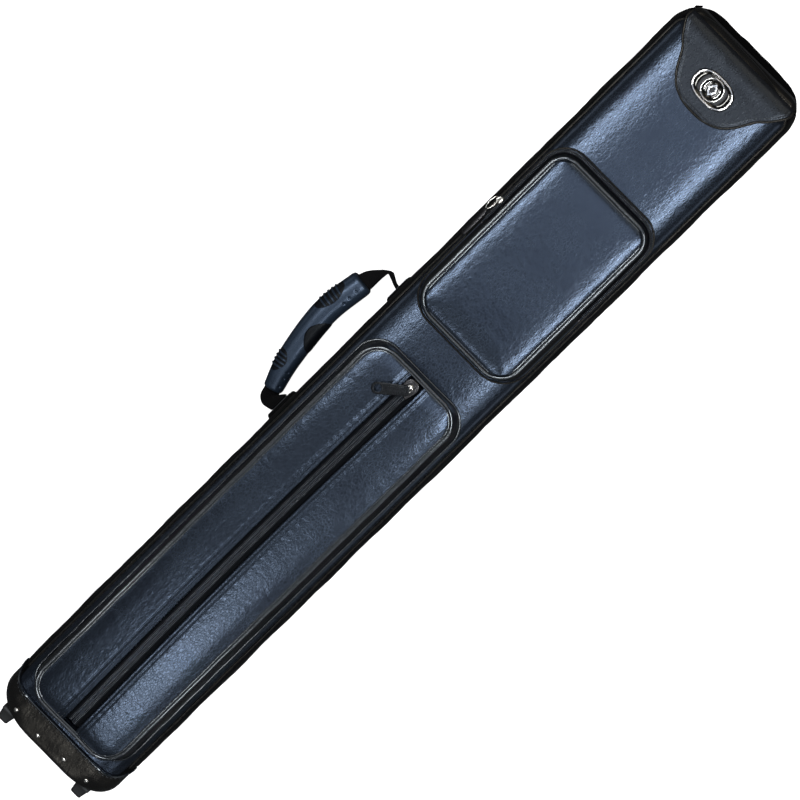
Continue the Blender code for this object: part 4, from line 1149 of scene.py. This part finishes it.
def lower_slider():
    """A shield-shaped slider with its bridge, the wire link and the ringed pull tab."""
    s0, s1 = LOWER_SLIDER_S
    x = -1.2
    shield = [(-4.6, 0.0), (-1.2, 0.0), (-0.9, 1.6), (0.9, 1.6), (1.2, 0.0), (4.6, 0.0), (5.2, 3.0),
              (6.4, 8.0), (6.6, 12.6), (5.6, 15.6), (3.0, 17.0), (-3.0, 17.0), (-5.6, 15.6),
              (-6.6, 12.6), (-6.4, 8.0), (-5.2, 3.0)]
    top = plate("lower_slider_plate", [shield], 112.7, 114.6, 0.7, STEEL, (x, s0))
    on("lower_zip_slider", top, stands_for=["lower_slider"], slot="gunmetal")
    ridge = [(-4.0, 1.2), (4.0, 1.2), (5.4, 8.2), (5.4, 12.2), (2.6, 15.4), (-2.6, 15.4),
             (-5.4, 12.2), (-5.4, 8.2)]
    cap = plate("lower_slider_ridge", [ridge], 114.2, 115.2, 0.45, STEEL, (x, s0))
    on("lower_zip_slider", cap, slot="gunmetal")
    bridge = [(x, s0 + 3.4, 114.6), (x, s0 + 4.0, 115.9), (x, s0 + 7.0, 116.6),
              (x, s0 + 11.5, 116.6), (x, s0 + 13.6, 115.8), (x, s0 + 14.0, 114.6)]
    arm = np.array([[(px + w, ps, pz + h) for w, h in ((-1.5, 0), (-1.1, 0.5), (1.1, 0.5), (1.5, 0),
                                                       (1.1, -0.5), (-1.1, -0.5))]
                    for px, ps, pz in smooth(bridge, 5)])
    on("lower_zip_slider", tube("lower_slider_bridge", arm, NICKEL),
       slot="nickel")
    link = round_box((x - 2.5, x + 2.5, s1 - 13.4, s1 - 4.4), [2.2] * 4, 6)
    ring = cord("lower_link_ring", at_height(link, 117.35), 0.5, NICKEL, closed=True, step=0.8)
    on("lower_zip_link", ring, stands_for=["lower_pull_link"], slot="gunmetal")
    outline = round_box((-5.5, 5.5, -30.6, 2.8), [5.4, 5.4, 3.2, 3.2], 10)
    outline = [(a * (0.84 + 0.16 * min(max((-8.0 - b) / 14.0, 0.0), 1.0)) if b < 9 else a, b)
               for a, b in outline]
    spot = (-1.8, s1 - 10.0)
    hole = circle(3.5, 28, (0.0, -24.7))[::-1]
    tab = plate("lower_tab_body", [outline, hole], 117.5, 120.4, 0.8, TAB, spot, -PULL_ANGLE)
    on("lower_zip_pull", tab, stands_for=["lower_pull_tab"], slot="pull_plastic")
    panel = round_box((-3.0, 3.0, -17.6, -0.4), [1.6] * 4, 6)
    raised = plate("lower_tab_panel", [panel], 119.9, 121.0, 0.45, TAB, spot, -PULL_ANGLE)
    on("lower_zip_pull", raised, slot="pull_plastic")
    eye = plate("lower_tab_eye", [circle(5.1, 32, (0.0, -24.7)), hole], 119.8, 121.0, 0.5, TAB,
                spot, -PULL_ANGLE)
    on("lower_zip_pull", eye, slot="pull_plastic")


# ---------------------------------------------------------------- carry handle


def grip_path():
    """Points (x, s, half width, half depth) along the grip, and its direction across."""
    knots = [(x, s, wide, deep) for (x, s), wide, deep in
             zip(GRIP_LINE, GRIP_HALF_WIDTH, GRIP_HALF_DEPTH)]
    path = smooth(knots, 64)
    along = np.gradient(path[:, :2], axis=0)
    along /= np.linalg.norm(along, axis=1)[:, None]
    return path, np.stack([-along[:, 1], along[:, 0]], 1)


def grip_point(path, across, i, angle, grow=0.0):
    """A point on the grip: angle 0 faces the case and 90 degrees faces up."""
    x, s, wide, deep = path[i]
    a = math.copysign(abs(math.cos(angle)) ** 0.82, math.cos(angle)) * (wide + grow)
    b = math.copysign(abs(math.sin(angle)) ** 0.82, math.sin(angle)) * (deep + grow)
    return x + across[i, 0] * a, s + across[i, 1] * a, GRIP_Z + b


def grip_inlay(name, path, across, middle_s, reach, angle, spread, lift):
    """An oval patch of dark pad laid on the grip round one angle, thin at its edge; over a ribbed
    recess its darkness is painted shade.
    """
    rows = []
    for v in np.linspace(-0.985, 0.985, 34):
        i = int(np.argmin(np.abs(path[:, 1] - (middle_s + reach * v))))
        wide = math.radians(spread) * math.sqrt(1.0 - v * v)
        rows.append(
            [grip_point(path, across, i, math.radians(angle) + wide * u,
                        lift * (1.0 - u**6) * (1.0 - abs(v) ** 9) - 0.1)
             for u in np.linspace(-1.0, 1.0, 22)]
        )
    return thicken(skin(name, rows, PAD_AND_RECESS_SHADE), 0.5)


def grip_bars(name, path, across, stations, middle_s, reach, angle, spread):
    """Short raised bars across an inlay."""
    for number, s in enumerate(stations, 1):
        i = int(np.argmin(np.abs(path[:, 1] - s)))
        wide = math.radians(spread) * math.sqrt(1.0 - ((s - middle_s) / reach) ** 2) * 0.9
        line = [grip_point(path, across, i, math.radians(angle) + wide * u, 0.25)
                for u in np.linspace(-1.0, 1.0, 16)]
        on("handle", cord(f"{name}_{number}", line, 0.85, GRIP, step=0.9), slot="handle_plastic")


def handle_grip():
    path, across = grip_path()
    turns = full_turn(96)
    rows = []
    last = len(path) - 1
    for i in range(len(path)):
        end = min(i, last - i) / 7.0
        tuck = -1.6 * (1.0 - math.sqrt(max(1.0 - max(1.0 - end, 0.0) ** 2, 0.0)))
        rows.append([grip_point(path, across, i, angle, tuck) for angle in turns])
    grid = np.array(rows)
    for x, s in GRIP_DIMPLES:
        gap = np.hypot(grid[..., 0] - x, grid[..., 1] - s)
        hit = (grid[..., 2] > GRIP_Z) & (gap < 2.0)
        grid[..., 2] -= np.where(hit, 1.3 * np.exp(-((gap / 0.95) ** 2)), 0.0)
    made = tube("grip_moulding", grid, GRIP)
    on("handle", made, stands_for=["handle_grip"], slot="handle_plastic")
    pad = grip_inlay("grip_pad_inlay", path, across, 424.8, 18.0, 14.0, 82.0, 0.75)
    on("handle", pad, stands_for=["handle_grip_insert"], slot="rubber")
    for name, middle, reach, angle, spread, bars in (
        ("upper", 460.0, 16.5, 137.0, 50.0, (468.1, 464.2, 460.2, 456.0, 451.8)),
        ("lower", 389.5, 10.8, 134.0, 50.0, (395.3, 391.5, 387.8, 384.1)),
    ):
        oval = (middle, reach, angle, spread)
        # Each ribbed recess is a dark pad sheet under its bars: painted shade of the recess.
        inlay = grip_inlay(f"grip_{name}_recess_shade", path, across, *oval, 0.3)
        on("handle", inlay, slot="rubber")
        grip_bars(f"grip_{name}_bar", path, across, bars, *oval)


def ribbon(name, stations):
    """Webbing through stations (centre, width direction, half width), ribbed along its length."""
    knots = np.array([[*centre, *(np.array(across) / np.linalg.norm(across)), half]
                      for centre, across, half in stations])
    path = smooth(knots, 12)
    tangent = np.gradient(path[:, :3], axis=0)
    tangent /= np.linalg.norm(tangent, axis=1)[:, None]
    across = path[:, 3:6] / np.linalg.norm(path[:, 3:6], axis=1)[:, None]
    normal = np.cross(tangent, across)
    normal /= np.linalg.norm(normal, axis=1)[:, None]
    loop = []
    for side in (1.0, -1.0):
        for t in np.linspace(-1.0, 1.0, 21) * side:
            edge = math.sqrt(max(1.0 - abs(t) ** 7, 0.0))
            rib = 0.12 * math.cos(math.pi * 5 * t)
            loop.append((t, side * (WEBBING_THICK / 2.0 + rib) * edge))
    loop = np.array(loop)
    grid = (path[:, None, :3] + across[:, None] * (loop[None, :, :1] * path[:, None, 6:7])
            + normal[:, None] * loop[None, :, 1:])
    grid[..., 2] += 0.25 * ripple(grid[..., 0], grid[..., 1], 9.0, 91)
    return tube(name, grid, WEBBING)


def handle_webbing():
    upper = (
        ((-96.4, 486.0, 12.4), (0.99, -0.13, 0.0), 8.8),
        ((-95.8, 493.0, 13.0), (0.97, 0.22, 0.0), 8.7),
        ((-94.2, 501.6, 14.0), (0.9, 0.42, 0.05), 8.0),
        ((-90.6, 509.4, 16.0), (0.8, 0.6, 0.3), 6.6),
        ((-85.4, 513.0, 19.6), (0.5, 0.55, 0.8), 4.8),
        ((-80.0, 512.0, 24.2), (0.2, 0.5, 0.9), 3.8),
        ((-75.2, 510.4, 27.6), (0.1, 0.45, 0.9), 3.4),
        ((-70.6, 509.4, 28.0), (0.0, 0.5, 0.9), 3.8),
        ((-68.6, 509.2, 28.0), (0.0, 0.5, 0.9), 3.8),
    )
    on("handle", ribbon("webbing_strap_upper", upper), stands_for=["webbing_upper"], slot="webbing")
    lower = (
        ((-87.0, 367.0, 12.2), (0.97, 0.22, 0.0), 7.4),
        ((-85.9, 361.0, 12.6), (0.95, 0.32, 0.0), 7.6),
        ((-84.2, 357.2, 14.4), (0.8, 0.6, 0.0), 8.2),
        ((-80.8, 357.0, 19.2), (0.35, 0.95, 0.0), 9.0),
        ((-76.6, 360.4, 25.6), (0.1, 1.0, 0.0), 9.8),
        ((-73.6, 362.2, 28.2), (0.0, 1.0, 0.0), 10.0),
    )
    on("handle", ribbon("webbing_strap_lower", lower), stands_for=["webbing_lower"], slot="webbing")
    for name, low, high, deep in (("upper", 496.0, 524.0, 1.5), ("lower", 347.0, 378.0, 2.8)):
        rows = []
        for x, shrink in ((-68.2, 0.0), (-69.8, 0.0), (-69.4 - deep, 0.8), (-69.6 - deep, 3.0),
                          (-69.7 - deep, 6.0)):
            box = (low + shrink, high - shrink, 18.0 + shrink, 38.0 - shrink)
            rows.append([(x, a, b) for a, b in round_box(box, [2.4] * 4, 5)])
        patch = tube(f"anchor_{name}_patch", rows, WEBBING)
        on("case", patch, stands_for=[f"anchor_patch_{name}"], slot="webbing")
        box = (low + 2.0, high - 2.0, 20.0, 36.0)
        path = [(-69.7 - deep, a, b) for a, b in round_box(box, [1.0] * 4, 2)]
        path = resample(path, 2.8, True)
        thread = cord(f"anchor_{name}_thread", path, 0.3, THREAD, closed=True, step=1.4)
        on("case", thread, slot="webbing")


# ---------------------------------------------------------------- nodes kept from the CAD


def kept_nodes():
    looks = {
        "back_panel": LEATHER, "core_box": BOARD, "lid_board": BOARD, "mouth_collar": FOAM,
        "base_pad": FOAM, "snap_keeper": NICKEL, "snap_magnet": NICKEL,
    }
    for number in range(1, 5):
        looks[f"shaft_tube_{number}"] = TUBES
        if number < 4:
            looks[f"butt_tube_{number}"] = TUBES
    for name, material in looks.items():
        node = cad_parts[name]
        node.data.materials.clear()
        node.data.materials.append(material)


# ---------------------------------------------------------------- floor, light and camera


def area_light(name, where, target, size, power, colour=(1.0, 1.0, 1.0)):
    data = bpy.data.lights.new(name, "AREA")
    data.shape = "RECTANGLE"
    data.size, data.size_y = size
    data.energy = power
    data.color = colour
    made = bpy.data.objects.new(name, data)
    bpy.context.scene.collection.objects.link(made)
    back = (Vector(where) - Vector(target)).normalized()
    across = Vector((0.0, 1.0, 0.0)).cross(back).normalized()
    place = Matrix((across, back.cross(across), back)).transposed().to_4x4()
    place.translation = where
    made.matrix_world = place
    return made


def studio():
    mesh = bpy.data.meshes.new("studio_floor")
    reach = 30.0
    corners = [(-reach, -reach, 0), (reach, -reach, 0), (reach, reach, 0), (-reach, reach, 0)]
    mesh.from_pydata(corners, [], [(0, 1, 2, 3)])
    pale = Graph("pale_floor")
    paint = pale.tones(pale.noise(pale.place, 3.0), (0.90, 0.90, 0.90), (0.93, 0.93, 0.93))
    look = pale.surface(base_color=paint, roughness=0.9, emission_strength=0.95)
    pale.fill(pale.shader, {"Emission Color": (1.0, 1.0, 1.0, 1.0)})
    floor = new_object("studio_floor", mesh, look)
    floor.location.z = -0.0008
    floor.visible_glossy = floor.visible_diffuse = False
    world = bpy.data.worlds.new("studio_air")
    world.use_nodes = True
    world.node_tree.nodes["Background"].inputs[0].default_value = (0.9, 0.95, 1.0, 1.0)
    world.node_tree.nodes["Background"].inputs[1].default_value = 0.06
    bpy.context.scene.world = world
    bpy.context.scene.view_settings.view_transform = "Standard"
    area_light("overhead", (0.0, 0.3, 1.7), (0.0, 0.3, 0.0), (0.5, 0.8), 1.3, (0.82, 0.87, 1.0))
    area_light("left_strip", (-0.54, 0.33, 1.62), (0.0, 0.33, 0.0), (0.13, 1.15), 11.5)
    area_light("right_strip", (0.56, 0.35, 1.62), (0.0, 0.35, 0.0), (0.15, 1.1), 13.5)
    area_light("low_right", (0.24, -0.78, 1.7), (0.24, -0.78, 0.0), (0.3, 0.15), 2.5)
    area_light("low_left", (-0.12, -0.5, 1.7), (-0.12, -0.5, 0.0), (0.4, 0.4), 0.12)
    area_light("left_edge", (-1.0, -0.62, 1.5), (0.0, -0.62, 0.1), (0.14, 0.8), 0.9)
    area_light("right_edge", (1.0, -0.62, 1.5), (0.0, -0.62, 0.1), (0.14, 0.8), 1.5)
    area_light("side_left", (-2.4, 0.0, 0.7), (0.0, 0.0, 0.05), (0.7, 1.6), 3.0)
    area_light("side_right", (2.4, 0.0, 0.7), (0.0, 0.0, 0.05), (0.7, 1.6), 3.0)
    area_light("warm_end", (0.0, 1.35, 1.4), (0.0, 0.4, 0.0), (0.7, 0.4), 1.6, (1.0, 0.88, 0.7))
    area_light("foot_fill", (0.0, -1.9, 1.2), (0.0, -0.4, 0.0), (0.8, 0.3), 0.5)


def camera():
    """Looks onto the front from a little above its top end, the case lying across the frame."""
    distance, lean, roll, focal = 2.77, math.radians(10.5), math.radians(45.4), 3204.0
    target = Vector((0.0, 0.0127, 0.075))
    back = Vector((0.0, math.sin(lean), math.cos(lean)))
    along = Vector((0.0, math.cos(lean), -math.sin(lean)))
    across = Vector((1.0, 0.0, 0.0))
    right = across * math.cos(roll) + along * math.sin(roll)
    up = -across * math.sin(roll) + along * math.cos(roll)
    data = bpy.data.cameras.new("photo_view")
    data.sensor_width = 36.0
    data.lens = focal / 800.0 * 36.0
    made = bpy.data.objects.new("photo_view", data)
    bpy.context.scene.collection.objects.link(made)
    place = Matrix((right, up, back)).transposed().to_4x4()
    place.translation = target + back * distance
    made.matrix_world = place
    bpy.context.scene.camera = made


kept_nodes()
front_panel()
seams()
for band, away in (("left", -1.0), ("right", 1.0)):
    side_band(band, away)
back_rim()
bottom_cap()
feet()
lid()
lid_lip()
top_flap()
badge()
upper_pocket()
upper_zipper()
upper_slider()
lower_walls()
for half, away in (("left", -1), ("right", 1)):
    lower_panel(half, away)
lower_zipper()
lower_slider()
handle_grip()
handle_webbing()
studio()
camera()
